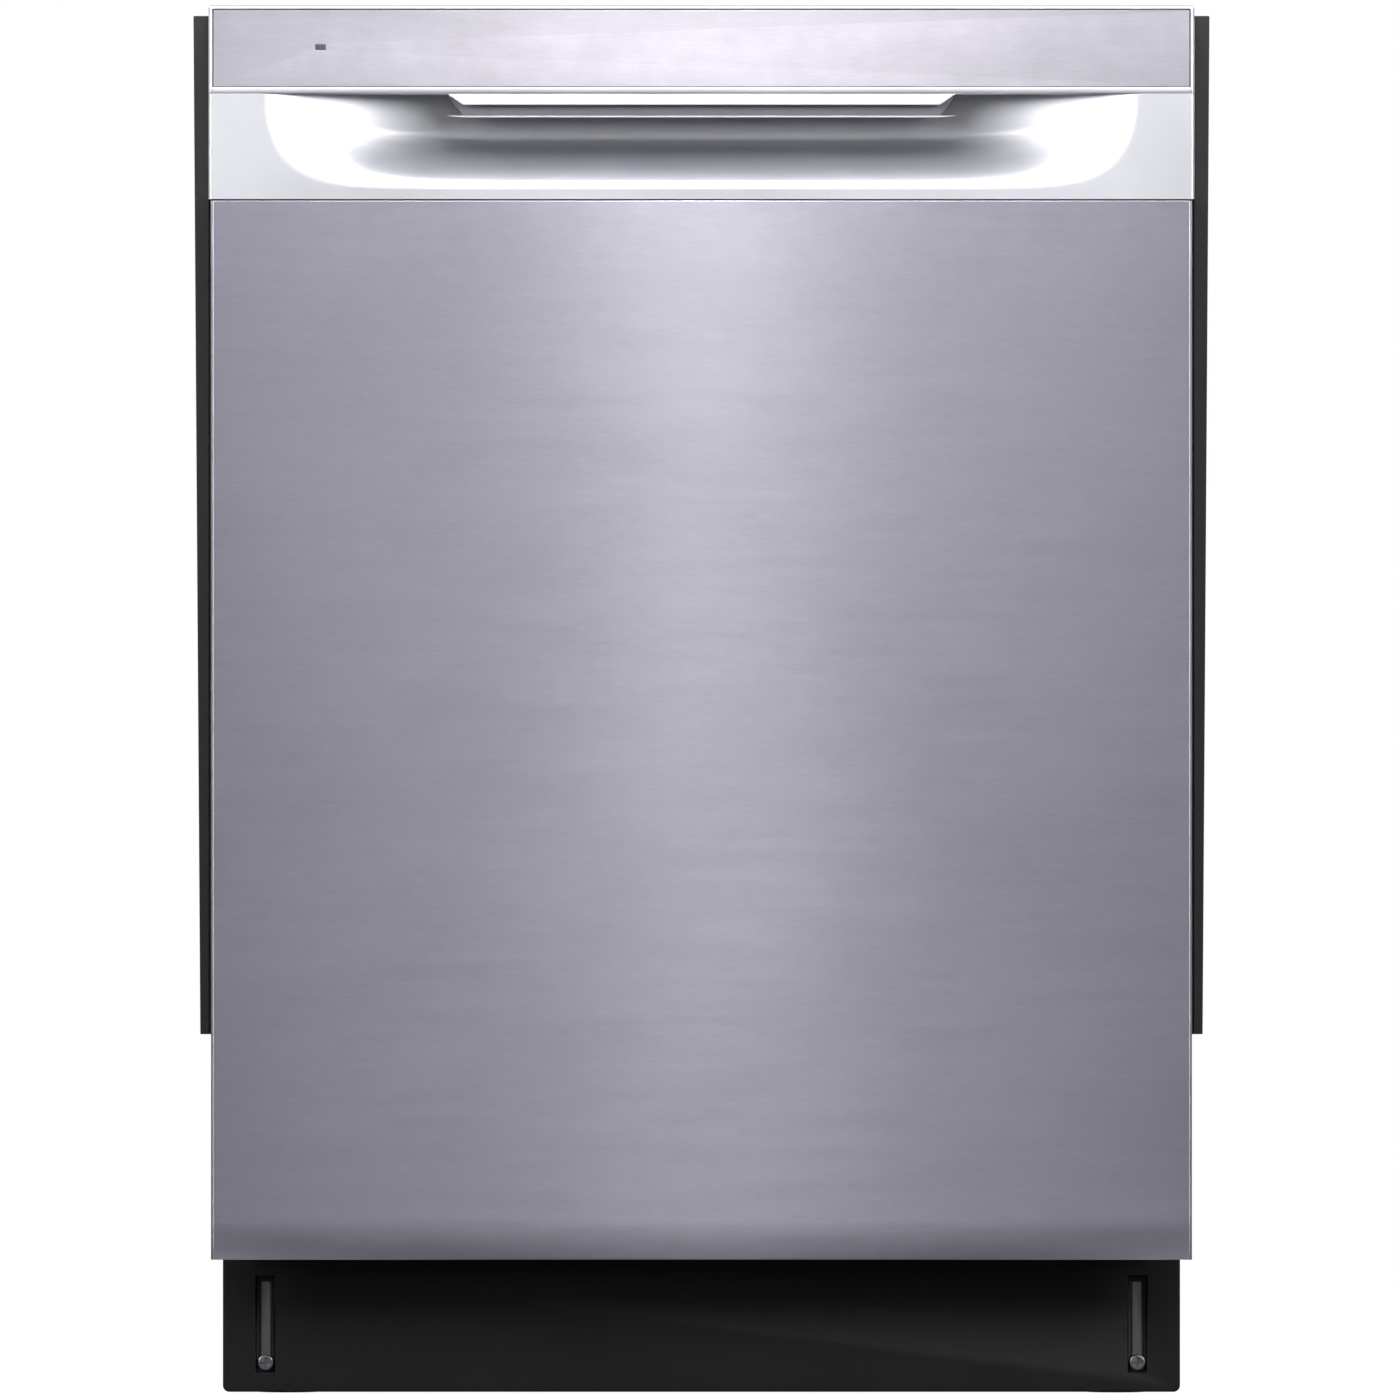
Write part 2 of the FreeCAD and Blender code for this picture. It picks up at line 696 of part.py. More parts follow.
# Two steel tabs on top of the frame, screwed up into the worktop.
def mounting_brackets():
    tabs = []
    top = OVERALL_HEIGHT - 0.5
    for side in (-1, 1):
        x = side * DOOR_HALF / 2
        foot = block(x - 16, x + 16, FRAME_FRONT + 2, FRAME_FRONT + 5.0, OVERALL_HEIGHT - 4, top)
        plate = block(x - 16, x + 16, FRAME_FRONT + 2, FRAME_FRONT + 30, top - 1.5, top)
        hole = rod(vec(x, FRAME_FRONT + 20, top - 5), vec(x, FRAME_FRONT + 20, top + 5), 2.5)
        tabs.append(foot.fuse(plate).cut(hole))
    return Part.makeCompound(tabs)


# Strike that the door latch closes on.
def latch_strike():
    top = OVERALL_HEIGHT - 3.4
    tongue = block(-12, 12, INNER_FACE - 16, FRAME_FRONT, top - 6.4, top - 3.2)
    plate = block(-20, 20, FRAME_FRONT - 2.0, FRAME_FRONT, top - 6.6, top - 0.8)
    return tongue.fuse(plate)


# ---- Sump, filters, pumps and water connections ----

# Sump pot let into the basin, with the post that carries the lower spray arm.
def sump_body():
    low = 58.0
    pot = rod(vec(0, SUMP_Y, low), vec(0, SUMP_Y, BASIN), SUMP_RADIUS)
    flange = rod(vec(0, SUMP_Y, BASIN), vec(0, SUMP_Y, BASIN + 2), SUMP_RADIUS + 8)
    hollow = rod(vec(0, SUMP_Y, low + 3), vec(0, SUMP_Y, BASIN + 20), SUMP_RADIUS - 4)
    post = rod(vec(0, 0, low + 3), vec(0, 0, LEDGE + 4), 14.0)
    spigot = rod(vec(0, 0, LEDGE + 4), vec(0, 0, LEDGE + 20), 11.95)
    return pot.fuse(flange).cut(hollow).fuse(post).fuse(spigot)


# Fine filter plate over the sump, with holes for the post and the filter cylinder.
def filter_plate():
    plate = rod(vec(0, SUMP_Y, BASIN - 1), vec(0, SUMP_Y, BASIN + 1), SUMP_RADIUS - 4.5)
    post_hole = rod(vec(0, 0, BASIN - 9), vec(0, 0, BASIN + 9), 14.5)
    filter_hole = rod(vec(0, FILTER_Y, BASIN - 9), vec(0, FILTER_Y, BASIN + 9), 39.0)
    ledge = rod(vec(0, SUMP_Y, BASIN - 8), vec(0, SUMP_Y, BASIN - 1), SUMP_RADIUS - 4.5)
    ledge_hollow = rod(vec(0, SUMP_Y, BASIN - 9), vec(0, SUMP_Y, BASIN), SUMP_RADIUS - 7.0)
    return plate.fuse(ledge.cut(ledge_hollow)).cut(post_hole).cut(filter_hole)


# Twist-out filter cylinder with a finger bar on top.
def filter_cylinder():
    low = 66.0
    sleeve = rod(vec(0, FILTER_Y, low), vec(0, FILTER_Y, BASIN + 3), 38.0)
    rim = rod(vec(0, FILTER_Y, BASIN + 1.6), vec(0, FILTER_Y, BASIN + 5), 44.0)
    hollow = rod(vec(0, FILTER_Y, low - 5), vec(0, FILTER_Y, BASIN + 9), 35.5)
    bar = block(-38, 38, FILTER_Y - 3, FILTER_Y + 3, BASIN + 1.6, BASIN + 16)
    return sleeve.fuse(rim).cut(hollow).fuse(bar)


# Circulation pump with its flow-through heater, lying beside the sump.
def circulation_pump():
    room = BASIN - 28.0
    z = 25.0 + room / 2
    body = rod(vec(SUMP_RADIUS + 1, SUMP_Y, z), vec(SUMP_RADIUS + 62, SUMP_Y, z), room * 0.40)
    motor = rod(vec(SUMP_RADIUS + 62, SUMP_Y, z), vec(SUMP_RADIUS + 120, SUMP_Y, z), room * 0.32)
    foot = block(SUMP_RADIUS + 20, SUMP_RADIUS + 90, SUMP_Y - 18, SUMP_Y + 18, 25, 40)
    return body.fuse(motor).fuse(foot)


# Drain pump with the spigot that the waste hose clamps onto at the back.
def drain_pump():
    x = -140.0
    z = 62.0
    body = rod(vec(x, SUMP_Y - 20, z), vec(x, SUMP_Y + 50, z), 26.0)
    pipe = rod(vec(x, SUMP_Y + 50, z), vec(x, BACK - 30, z), 7.0)
    spigot = rod(vec(x, BACK - 30, z), vec(x, BACK - 2, z), 10.5)
    bore = rod(vec(x, BACK - 20, z), vec(x, BACK + 5, z), 7.5)
    elbow = rod(vec(x, SUMP_Y, z), vec(-SUMP_RADIUS - 0.5, SUMP_Y, z), 11.0)
    foot = block(x - 14, x + 14, SUMP_Y - 10, SUMP_Y + 40, 25, 40)
    return body.fuse(elbow).fuse(pipe).fuse(spigot).cut(bore).fuse(foot)


# Water inlet valve at the front left with its threaded connection.
def inlet_valve():
    x = -TUB_HALF + 84.0
    y = BASE_FRONT + 30.0
    z = 52.0
    body = block(x - 22, x + 22, y, y + 40, 25, 70)
    coil = rod(vec(x, y + 20, 70), vec(x, y + 20, 92), 16.0)
    thread = rod(vec(x, y + 40, z), vec(x, y + 62, z), 13.2)
    bore = rod(vec(x, y + 50, z), vec(x, y + 70, z), 9.0)
    return body.fuse(coil).fuse(thread).cut(bore)


# Steel junction box for the supply cable, with a knockout hole in its back.
def junction_box():
    x0 = CABLE_X - 32.0
    x1 = CABLE_X + 32.0
    y0 = BASE_FRONT + 42.0
    y1 = BASE_FRONT + 112.0
    box = block(x0, x1, y0, y1, 25, 82)
    hollow = block(x0 + 1.5, x1 - 1.5, y0 + 1.5, y1 - 1.5, 26.5, 80.5)
    knockout = rod(vec(CABLE_X, y1 - 5, 54), vec(CABLE_X, y1 + 5, 54), 11.1)
    return box.cut(hollow).cut(knockout)


# Water pipe up the back wall and along the roof, with the docking nozzle for the upper rack.
def feed_tube():
    roof = TUB_TOP - 6.0
    riser = block(-20, 20, TUB_BACK - 12, TUB_BACK, BASIN, roof)
    riser = riser.makeFillet(4.0, upright_edges(riser, vec(0, 0, 1))[:2])
    run = block(-16, 16, 0, TUB_BACK - 10, roof - 14, roof)
    end = rod(vec(0, 0, roof - 14), vec(0, 0, roof), 16.0)
    post = rod(vec(0, 0, roof - 32), vec(0, 0, roof - 14), 9.95)
    nozzle = rod(vec(0, TUB_BACK - 30, UPPER_FLOOR - 10), vec(0, TUB_BACK - 12, UPPER_FLOOR - 10), 8.0)
    clip = block(-10, 10, 20, 34, roof, TUB_TOP)
    return riser.fuse(run).fuse(end).fuse(post).fuse(nozzle).fuse(clip)


# Float that rises with too much water and stops the filling.
def float_place():
    return (-TUB_HALF + 74.0, TUB_FRONT + 38.0)


def water_float():
    x, y = float_place()
    cap = rod(vec(x, y, LEDGE + 1), vec(x, y, LEDGE + 18), 16.0)
    cap = cap.makeFillet(5.0, [cap.Edges[0]])
    stem = rod(vec(x, y, BASIN - 16), vec(x, y, LEDGE + 2), 4.0)
    return cap.fuse(stem)


# ---- Spray arms ----

def spray_arm(reach, wide, z0, z1, hub, bore, bore_depth):
    tip = wide * 0.34
    outline = (
        (-reach, -tip),
        (-hub, -wide / 2),
        (hub, -wide / 2),
        (reach, -tip),
        (reach, tip),
        (hub, wide / 2),
        (-hub, wide / 2),
        (-reach, tip),
    )
    blade = prism_z(outline, z0, z1)
    blade = blade.makeFillet(tip * 0.6, end_edges(blade, reach))
    return blade


def end_edges(shape, reach):
    return [
        edge
        for edge in upright_edges(shape, vec(0, 0, 1))
        if abs(edge.CenterOfMass.x) > reach - 0.5
    ]


# Blade under the lower rack, turning on the sump post.
def lower_spray_arm():
    blade = spray_arm(LOWER_ARM_REACH, 50.0, LEDGE + 13, LEDGE + 22, 24.0, 12.0, 18.0)
    hub = rod(vec(0, 0, LEDGE + 5), vec(0, 0, LEDGE + 27), 22.0)
    bore = rod(vec(0, 0, LEDGE), vec(0, 0, LEDGE + 22.5), 12.0)
    return blade.fuse(hub).cut(bore)


# Blade hung below the upper rack, turning on the spigot of the rack's water channel.
def middle_spray_arm():
    z = UPPER_FLOOR - 30.0
    blade = spray_arm(MIDDLE_ARM_REACH, 44.0, z, z + 8, 22.0, 10.0, 14.0)
    hub = rod(vec(0, 0, z - 6), vec(0, 0, z + 12), 18.0)
    bore = rod(vec(0, 0, z - 1), vec(0, 0, z + 20), 10.0)
    return blade.fuse(hub).cut(bore)


# Small blade under the roof of the tub.
def top_spray_arm():
    z = TUB_TOP - 6.0 - 32.0
    blade = spray_arm(TOP_ARM_REACH, 36.0, z, z + 7, 18.0, 10.0, 12.0)
    hub = rod(vec(0, 0, z - 5), vec(0, 0, z + 15), 16.0)
    bore = rod(vec(0, 0, z - 2), vec(0, 0, z + 20), 10.0)
    return blade.fuse(hub).cut(bore)


# ---- Racks ----

# Rounded corner of a bent wire: a quarter of a ring from one leg to the other.
def wire_corner(centre, leg_a, leg_b):
    ring = Part.makeTorus(BEND, WIRE / 2, vec(0, 0, 0), vec(0, 0, 1), -180, 180, 90)
    turn = FreeCAD.Rotation(leg_a, leg_b, leg_a.cross(leg_b), "XYZ")
    ring.Placement = FreeCAD.Placement(centre, turn)
    return ring


# Closed rectangular hoop lying flat, with rounded corners.
def hoop(half, y0, y1, z):
    r = WIRE / 2
    b = BEND
    parts = [
        rod(vec(-half + b, y0, z), vec(half - b, y0, z), r),
        rod(vec(-half + b, y1, z), vec(half - b, y1, z), r),
        rod(vec(-half, y0 + b, z), vec(-half, y1 - b, z), r),
        rod(vec(half, y0 + b, z), vec(half, y1 - b, z), r),
        wire_corner(vec(half - b, y1 - b, z), vec(1, 0, 0), vec(0, 1, 0)),
        wire_corner(vec(-half + b, y1 - b, z), vec(0, 1, 0), vec(-1, 0, 0)),
        wire_corner(vec(-half + b, y0 + b, z), vec(-1, 0, 0), vec(0, -1, 0)),
        wire_corner(vec(half - b, y0 + b, z), vec(0, -1, 0), vec(1, 0, 0)),
    ]
    return parts


# Wire bent up at both ends, running across the rack.
def cross_wire(half, y, low, high):
    r = WIRE / 2
    b = BEND
    return [
        rod(vec(-half + b, y, low), vec(half - b, y, low), r),
        rod(vec(-half, y, low + b), vec(-half, y, high), r),
        rod(vec(half, y, low + b), vec(half, y, high), r),
        wire_corner(vec(half - b, y, low + b), vec(0, 0, -1), vec(1, 0, 0)),
        wire_corner(vec(-half + b, y, low + b), vec(-1, 0, 0), vec(0, 0, -1)),
    ]


# Wire bent up at both ends, running from the front of the rack to the back.
def long_wire(x, y0, y1, low, high):
    r = WIRE / 2
    b = BEND
    return [
        rod(vec(x, y0 + b, low), vec(x, y1 - b, low), r),
        rod(vec(x, y0, low + b), vec(x, y0, high), r),
        rod(vec(x, y1, low + b), vec(x, y1, high), r),
        wire_corner(vec(x, y1 - b, low + b), vec(0, 0, -1), vec(0, 1, 0)),
        wire_corner(vec(x, y0 + b, low + b), vec(0, -1, 0), vec(0, 0, -1)),
    ]


def spread(low, high, count):
    return [low + (high - low) * i / (count - 1) for i in range(count)]


def rack_basket(half, y0, y1, low, high, across, along):
    gap = WIRE + 0.02
    parts = []
    for y in spread(y0 + 30, y1 - 30, across):
        parts += cross_wire(half - gap, y, low, high)
    for x in spread(-half + 34, half - 34, along):
        parts += long_wire(x, y0 + gap, y1 - gap, low - gap, high)
    parts += hoop(half, y0, y1, high - 3)
    parts += hoop(half, y0, y1, low + (high - low) * 0.5)
    return parts


# Upright tines on the floor of a rack, in rows that hold plates.
def tines(xs, ys, low, tall):
    parts = []
    for x in xs:
        for y in ys:
            base = low + WIRE / 2 + 0.02
            parts.append(rod(vec(x, y, base), vec(x, y, base + tall), 1.6))
    return parts


def lower_rack():
    half = LOWER_HALF
    parts = rack_basket(half, RACK_FRONT, RACK_BACK, LOWER_FLOOR, LOWER_TOP, 8, 6)
    ys = spread(RACK_FRONT + 30, RACK_BACK - 30, 8)
    parts += tines((-half + 110, -half + 230), ys, LOWER_FLOOR, 80.0)
    for side in (-1, 1):
        for y in WHEEL_Y:
            parts.append(wheel_hanger(side, y))
    return Part.makeCompound(parts)


# Hanger clipped to the side of the lower rack, with the axle of one wheel.
def wheel_hanger(side, y):
    x0 = side * (LOWER_HALF + WIRE / 2 + 0.05)
    x1 = side * (LOWER_HALF + WIRE / 2 + 3.0)
    plate = block(x0, x1, y - 9, y + 9, WHEEL_Z - 7, LOWER_FLOOR + 90)
    axle = rod(vec(x1, y, WHEEL_Z), vec(side * (LOWER_HALF + 18), y, WHEEL_Z), 3.0)
    return plate.fuse(axle)


def rack_wheel(side, y):
    x0 = side * (LOWER_HALF + WIRE / 2 + 4.0)
    x1 = side * (LOWER_HALF + WIRE / 2 + 15.0)
    tyre = rod(vec(x0, y, WHEEL_Z), vec(x1, y, WHEEL_Z), WHEEL_RADIUS)
    bore = rod(vec(x0 - side * 5, y, WHEEL_Z), vec(x1 + side * 5, y, WHEEL_Z), 3.06)
    return tyre.cut(bore)


def upper_rack():
    half = UPPER_HALF - 6.0
    parts = rack_basket(half, RACK_FRONT + 4, RACK_BACK, UPPER_FLOOR, UPPER_TOP, 8, 6)
    for side in (-1, 1):
        parts.append(rack_rail(side))
    for end in (-1, 1):
        parts.append(shelf_bracket(end))
    return Part.makeCompound(parts)


# Channel along each side of the upper rack that runs over the glides on the tub wall.
def rack_rail(side):
    x0 = side * (UPPER_HALF - 6.0 + WIRE / 2 + 0.05)
    x1 = side * (UPPER_HALF + 8.0)
    y0 = RACK_FRONT + 12
    y1 = RACK_BACK
    channel = block(x0, x1, y0, y1, RAIL_Z - 12.5, RAIL_Z + 12.5)
    inside = block(x0 + side * 2.0, x1 + side * 5, y0 - 5, y1 + 5, RAIL_Z - 10.5, RAIL_Z + 10.5)
    return channel.cut(inside)


# Nylon glides on the tub walls that carry the channels of the upper rack.
def rack_glides():
    parts = []
    for side in (-1, 1):
        for y in (TUB_FRONT + 22, TUB_FRONT + 82):
            inner = side * (UPPER_HALF + 1.0)
            pad = rod(vec(inner, y, RAIL_Z), vec(side * (UPPER_HALF + 9.0), y, RAIL_Z), 10.0)
            stud = rod(vec(side * (UPPER_HALF + 9.0), y, RAIL_Z), vec(side * TUB_HALF, y, RAIL_Z), 6.0)
            parts.append(pad.fuse(stud))
    return Part.makeCompound(parts)


# Water channel under the upper rack with the spigot of the middle spray arm.
def rack_manifold():
    z0 = UPPER_FLOOR - 16.0
    z1 = UPPER_FLOOR - WIRE * 1.5 - 0.1
    channel = block(-14, 14, 0, RACK_BACK + 4, z0, z1)
    end = rod(vec(0, 0, z0), vec(0, 0, z1), 18.0)
    spigot = rod(vec(0, 0, z0 - 14), vec(0, 0, z0), 9.95)
    return channel.fuse(end).fuse(spigot)


# Brackets of the folding cup shelf, clipped to the left side of the upper rack.
def shelf_line():
    x = -UPPER_HALF + 22.0
    z = UPPER_FLOOR + 96.0
    return x, z


def shelf_bracket(end):
    x, z = shelf_line()
    y = -90 + end * 97.0
    left = -UPPER_HALF + 6.0 + WIRE * 1.5 + 0.1
    lug = block(left, x + 6, y - 2, y + 2, z - 6, z + 6)
    hole = rod(vec(x, y - 5, z), vec(x, y + 5, z), 2.55)
    return lug.cut(hole)


# Folding cup shelf: it lies flat over the cups and folds up against the rack side.
def cup_shelf():
    x, z = shelf_line()
    barrel = rod(vec(x, -90 - 94, z), vec(x, -90 + 94, z), 4.0)
    pin = rod(vec(x, -90 - 99, z), vec(x, -90 + 99, z), 2.5)
    tray = block(x, x + 82, -90 - 92, -90 + 92, z - 2, z + 1.5)
    shelf = barrel.fuse(pin).fuse(tray)
    for i in range(6):
        y = -90 - 78 + i * 31.2
        slot = block(x + 12, x + 74, y - 9, y + 9, z - 9, z + 9)
        shelf = shelf.cut(slot)
    return shelf


# Cutlery basket standing in the lower rack: open cells, a handle over the middle.
def basket_box():
    x1 = LOWER_HALF - 22.0
    x0 = x1 - 74.0
    y0 = RACK_FRONT + 44.0
    y1 = y0 + 240.0
    z0 = LOWER_FLOOR + WIRE / 2 + 0.4
    return x0, x1, y0, y1, z0, z0 + 118.0


def silverware_basket():
    x0, x1, y0, y1, z0, z1 = basket_box()
    body = block(x0, x1, y0, y1, z0, z1)
    cells = 4
    pitch = (y1 - y0 - 2.0) / cells
    for i in range(cells):
        a = y0 + 2.0 + pitch * i
        cell = block(x0 + 2, x1 - 2, a, a + pitch - 2.0, z0 + 2, z1 + 5)
        body = body.cut(cell)
    middle = (y0 + y1) / 2
    for x in (x0, x1 - 2):
        post = block(x, x + 2, middle - 12, middle + 12, z1, z1 + 34)
        body = body.fuse(post)
    grip = block(x0, x1, middle - 12, middle + 12, z1 + 30, z1 + 34)
    return body.fuse(grip)


save(outer_door_panel(), "outer_door_panel")
save(handle_console(), "handle_console")
save(grip_insert(), "grip_insert")
save(fascia_strip(), "fascia_strip")
save(indicator_lens(), "indicator_lens")
save(control_strip(), "control_strip")
for number, place in enumerate(key_places()):
    save(control_key(place), "control_key_%d" % (number + 1))
save(inner_door_panel(), "inner_door_panel")
save(detergent_dispenser(), "detergent_dispenser")
save(dispenser_lid(), "dispenser_lid")
save(rinse_aid_cap(), "rinse_aid_cap")
save(door_latch(), "door_latch")
save(latch_bolt(), "latch_bolt")
save(hinge_arm(), "hinge_arm_left")
save(mirrored(hinge_arm()), "hinge_arm_right")

save(base_frame(), "base_frame")
for name, place in zip(("front_left", "front_right", "rear_left", "rear_right"), leg_places()):
    save(leg(place), "leg_" + name)
save(toe_kick_panel(), "toe_kick_panel")
save(toe_kick_screws(), "toe_kick_screws")
save(hinge_bracket(), "hinge_bracket_left")
save(mirrored(hinge_bracket()), "hinge_bracket_right")
save(door_springs(), "door_springs")

save(tub_wrapper(), "tub_wrapper")
save(tub_back_panel(), "tub_back_panel")
save(tub_floor(), "tub_floor")
save(tub_front_frame(), "tub_front_frame")
save(tub_gasket(), "tub_gasket")
save(side_seal(), "side_seal_left")
save(mirrored(side_seal()), "side_seal_right")
save(sound_blanket(), "sound_blanket")
save(mounting_brackets(), "mounting_brackets")
save(latch_strike(), "latch_strike")

save(sump_body(), "sump_body")
save(filter_plate(), "filter_plate")
save(filter_cylinder(), "filter_cylinder")
save(circulation_pump(), "circulation_pump")
save(drain_pump(), "drain_pump")
save(inlet_valve(), "inlet_valve")
save(junction_box(), "junction_box")
save(feed_tube(), "feed_tube")
save(water_float(), "water_float")

save(lower_spray_arm(), "lower_spray_arm")
save(middle_spray_arm(), "middle_spray_arm")
save(top_spray_arm(), "top_spray_arm")

save(lower_rack(), "lower_rack")
for name, side, y in (
    ("front_left", -1, WHEEL_Y[0]),
    ("front_right", 1, WHEEL_Y[0]),
    ("rear_left", -1, WHEEL_Y[1]),
    ("rear_right", 1, WHEEL_Y[1]),
):
    save(rack_wheel(side, y), "rack_wheel_" + name)
save(silverware_basket(), "silverware_basket")
save(upper_rack(), "upper_rack")
save(rack_glides(), "rack_glides")
save(rack_manifold(), "rack_manifold")
save(cup_shelf(), "cup_shelf")
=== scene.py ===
import math
import bmesh
import bpy
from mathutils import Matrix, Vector


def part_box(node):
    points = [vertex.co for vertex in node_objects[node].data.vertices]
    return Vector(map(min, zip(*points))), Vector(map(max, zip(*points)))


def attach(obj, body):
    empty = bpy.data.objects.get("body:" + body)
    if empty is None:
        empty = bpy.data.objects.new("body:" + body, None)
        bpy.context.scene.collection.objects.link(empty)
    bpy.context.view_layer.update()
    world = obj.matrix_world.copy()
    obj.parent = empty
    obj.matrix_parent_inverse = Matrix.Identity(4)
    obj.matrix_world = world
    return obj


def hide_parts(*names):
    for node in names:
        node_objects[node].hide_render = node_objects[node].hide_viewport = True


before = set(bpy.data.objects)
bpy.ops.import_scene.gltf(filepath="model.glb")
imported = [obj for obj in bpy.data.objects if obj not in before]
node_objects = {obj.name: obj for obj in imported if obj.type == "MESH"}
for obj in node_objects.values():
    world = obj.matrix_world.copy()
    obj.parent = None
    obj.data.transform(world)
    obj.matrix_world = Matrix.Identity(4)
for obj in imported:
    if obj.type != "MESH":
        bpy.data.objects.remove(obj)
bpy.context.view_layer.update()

scene = bpy.context.scene

# ---- Outer door panel ----
# One folded sheet of stainless steel, brushed from side to side. Its front edges are
# bent over a small radius and the flanges run back to the liner.


def shader_group(name, inputs, outputs):
    tree = bpy.data.node_groups.new(name, "ShaderNodeTree")
    for label, kind, value in inputs:
        socket = tree.interface.new_socket(label, in_out="INPUT", socket_type="NodeSocket" + kind)
        socket.default_value = value
    for label, kind in outputs:
        tree.interface.new_socket(label, in_out="OUTPUT", socket_type="NodeSocket" + kind)
    return tree, tree.nodes.new("NodeGroupInput"), tree.nodes.new("NodeGroupOutput")


def join_sockets(tree, *pairs):
    for source, target in pairs:
        tree.links.new(source, target)


def maths(tree, operation, a, b=None, c=None):
    node = tree.nodes.new("ShaderNodeMath")
    node.operation = operation
    for slot, value in zip(node.inputs, (a, b, c)):
        if value is None:
            continue
        if isinstance(value, (int, float)):
            slot.default_value = value
        else:
            tree.links.new(value, slot)
    return node.outputs[0]


def noise_at(tree, vector, scale, detail=3.0, rough=0.5):
    node = tree.nodes.new("ShaderNodeTexNoise")
    node.inputs["Scale"].default_value = scale
    node.inputs["Detail"].default_value = detail
    node.inputs["Roughness"].default_value = rough
    tree.links.new(vector, node.inputs["Vector"])
    return node.outputs["Fac"]


def tinted(tree, colour, amount):
    # colour multiplied by a number that changes over the surface
    node = tree.nodes.new("ShaderNodeVectorMath")
    node.operation = "SCALE"
    join_sockets(tree, (colour, node.inputs[0]), (amount, node.inputs["Scale"]))
    return node.outputs[0]


def edge_wear_group():
    # Bright rubbed edges: a mask from how sharply the surface bends outward.
    tree, start, end = shader_group(
        "edge_wear", (("Reach", "Float", 0.5), ("Strength", "Float", 0.5)), (("Mask", "Float"),)
    )
    shape = tree.nodes.new("ShaderNodeNewGeometry")
    place = tree.nodes.new("ShaderNodeTexCoord")
    patchy = noise_at(tree, place.outputs["Object"], 60.0, 4.0)
    outward = maths(tree, "SUBTRACT", shape.outputs["Pointiness"], 0.5)
    raised = maths(tree, "MULTIPLY", outward, 6.0)
    reached = maths(tree, "MULTIPLY", raised, start.outputs["Reach"])
    broken = maths(tree, "MULTIPLY", reached, patchy)
    strong = maths(tree, "MULTIPLY", broken, start.outputs["Strength"])
    node = tree.nodes.new("ShaderNodeClamp")
    join_sockets(tree, (strong, node.inputs["Value"]), (node.outputs[0], end.inputs["Mask"]))
    return tree


def brushed_metal_group(wear):
    # Fine scratches all lying one way, slow cloudiness and rubbed edges.
    tree, start, end = shader_group(
        "brushed_metal",
        (
            ("Colour", "Color", (0.5, 0.5, 0.5, 1.0)),
            ("Lines", "Vector", (40.0, 300.0, 1500.0)),
            ("Contrast", "Float", 0.1),
            ("Base Roughness", "Float", 0.3),
            ("Edge Wear", "Float", 0.3),
        ),
        (("Colour", "Color"), ("Roughness", "Float"), ("Height", "Float")),
    )
    place = tree.nodes.new("ShaderNodeTexCoord")
    stretch = tree.nodes.new("ShaderNodeVectorMath")
    stretch.operation = "MULTIPLY"
    join_sockets(
        tree,
        (place.outputs["Object"], stretch.inputs[0]),
        (start.outputs["Lines"], stretch.inputs[1]),
    )
    fine = noise_at(tree, stretch.outputs[0], 1.0, 4.0, 0.6)
    broad = noise_at(tree, stretch.outputs[0], 0.21, 2.0)
    cloud = noise_at(tree, place.outputs["Object"], 5.0, 2.0)
    mixed = maths(tree, "ADD", maths(tree, "MULTIPLY", fine, 0.7), maths(tree, "MULTIPLY", broad, 0.3))
    centred = maths(tree, "SUBTRACT", mixed, 0.5)
    worn = tree.nodes.new("ShaderNodeGroup")
    worn.node_tree = wear
    worn.inputs["Reach"].default_value = 1.0
    join_sockets(tree, (start.outputs["Edge Wear"], worn.inputs["Strength"]))
    lines = maths(tree, "MULTIPLY_ADD", centred, start.outputs["Contrast"], 1.0)
    clouded = maths(tree, "MULTIPLY_ADD", maths(tree, "SUBTRACT", cloud, 0.5), 0.06, lines)
    bright = maths(tree, "ADD", clouded, maths(tree, "MULTIPLY", worn.outputs[0], 0.5))
    rough = maths(tree, "MULTIPLY_ADD", centred, 0.15, start.outputs["Base Roughness"])
    smudged = maths(tree, "MULTIPLY_ADD", maths(tree, "SUBTRACT", cloud, 0.5), 0.05, rough)
    join_sockets(
        tree,
        (tinted(tree, start.outputs["Colour"], bright), end.inputs["Colour"]),
        (smudged, end.inputs["Roughness"]),
        (mixed, end.inputs["Height"]),
    )
    return tree


edge_wear = edge_wear_group()
brushed_metal = brushed_metal_group(edge_wear)


def material_with(name, group, values, bump, **shader):
    material = bpy.data.materials.new(name)
    material.use_nodes = True
    tree = material.node_tree
    surface = tree.nodes["Principled BSDF"]
    effect = tree.nodes.new("ShaderNodeGroup")
    effect.node_tree = group
    for label, value in values.items():
        effect.inputs[label].default_value = value
    relief = tree.nodes.new("ShaderNodeBump")
    relief.inputs["Distance"].default_value = bump
    relief.inputs["Strength"].default_value = 1.0
    join_sockets(
        tree,
        (effect.outputs["Colour"], surface.inputs["Base Color"]),
        (effect.outputs["Roughness"], surface.inputs["Roughness"]),
        (effect.outputs["Height"], relief.inputs["Height"]),
        (relief.outputs["Normal"], surface.inputs["Normal"]),
    )
    for label, value in shader.items():
        surface.inputs[label.replace("_", " ")].default_value = value
    return material


def brushed(name, colour, lines, contrast, roughness, wear, relief, **shader):
    # relief is the height of the scratches in metres
    values = {
        "Colour": (*colour, 1.0),
        "Lines": lines,
        "Contrast": contrast,
        "Base Roughness": roughness,
        "Edge Wear": wear,
    }
    return material_with(name, brushed_metal, values, relief, Metallic=1.0, **shader)


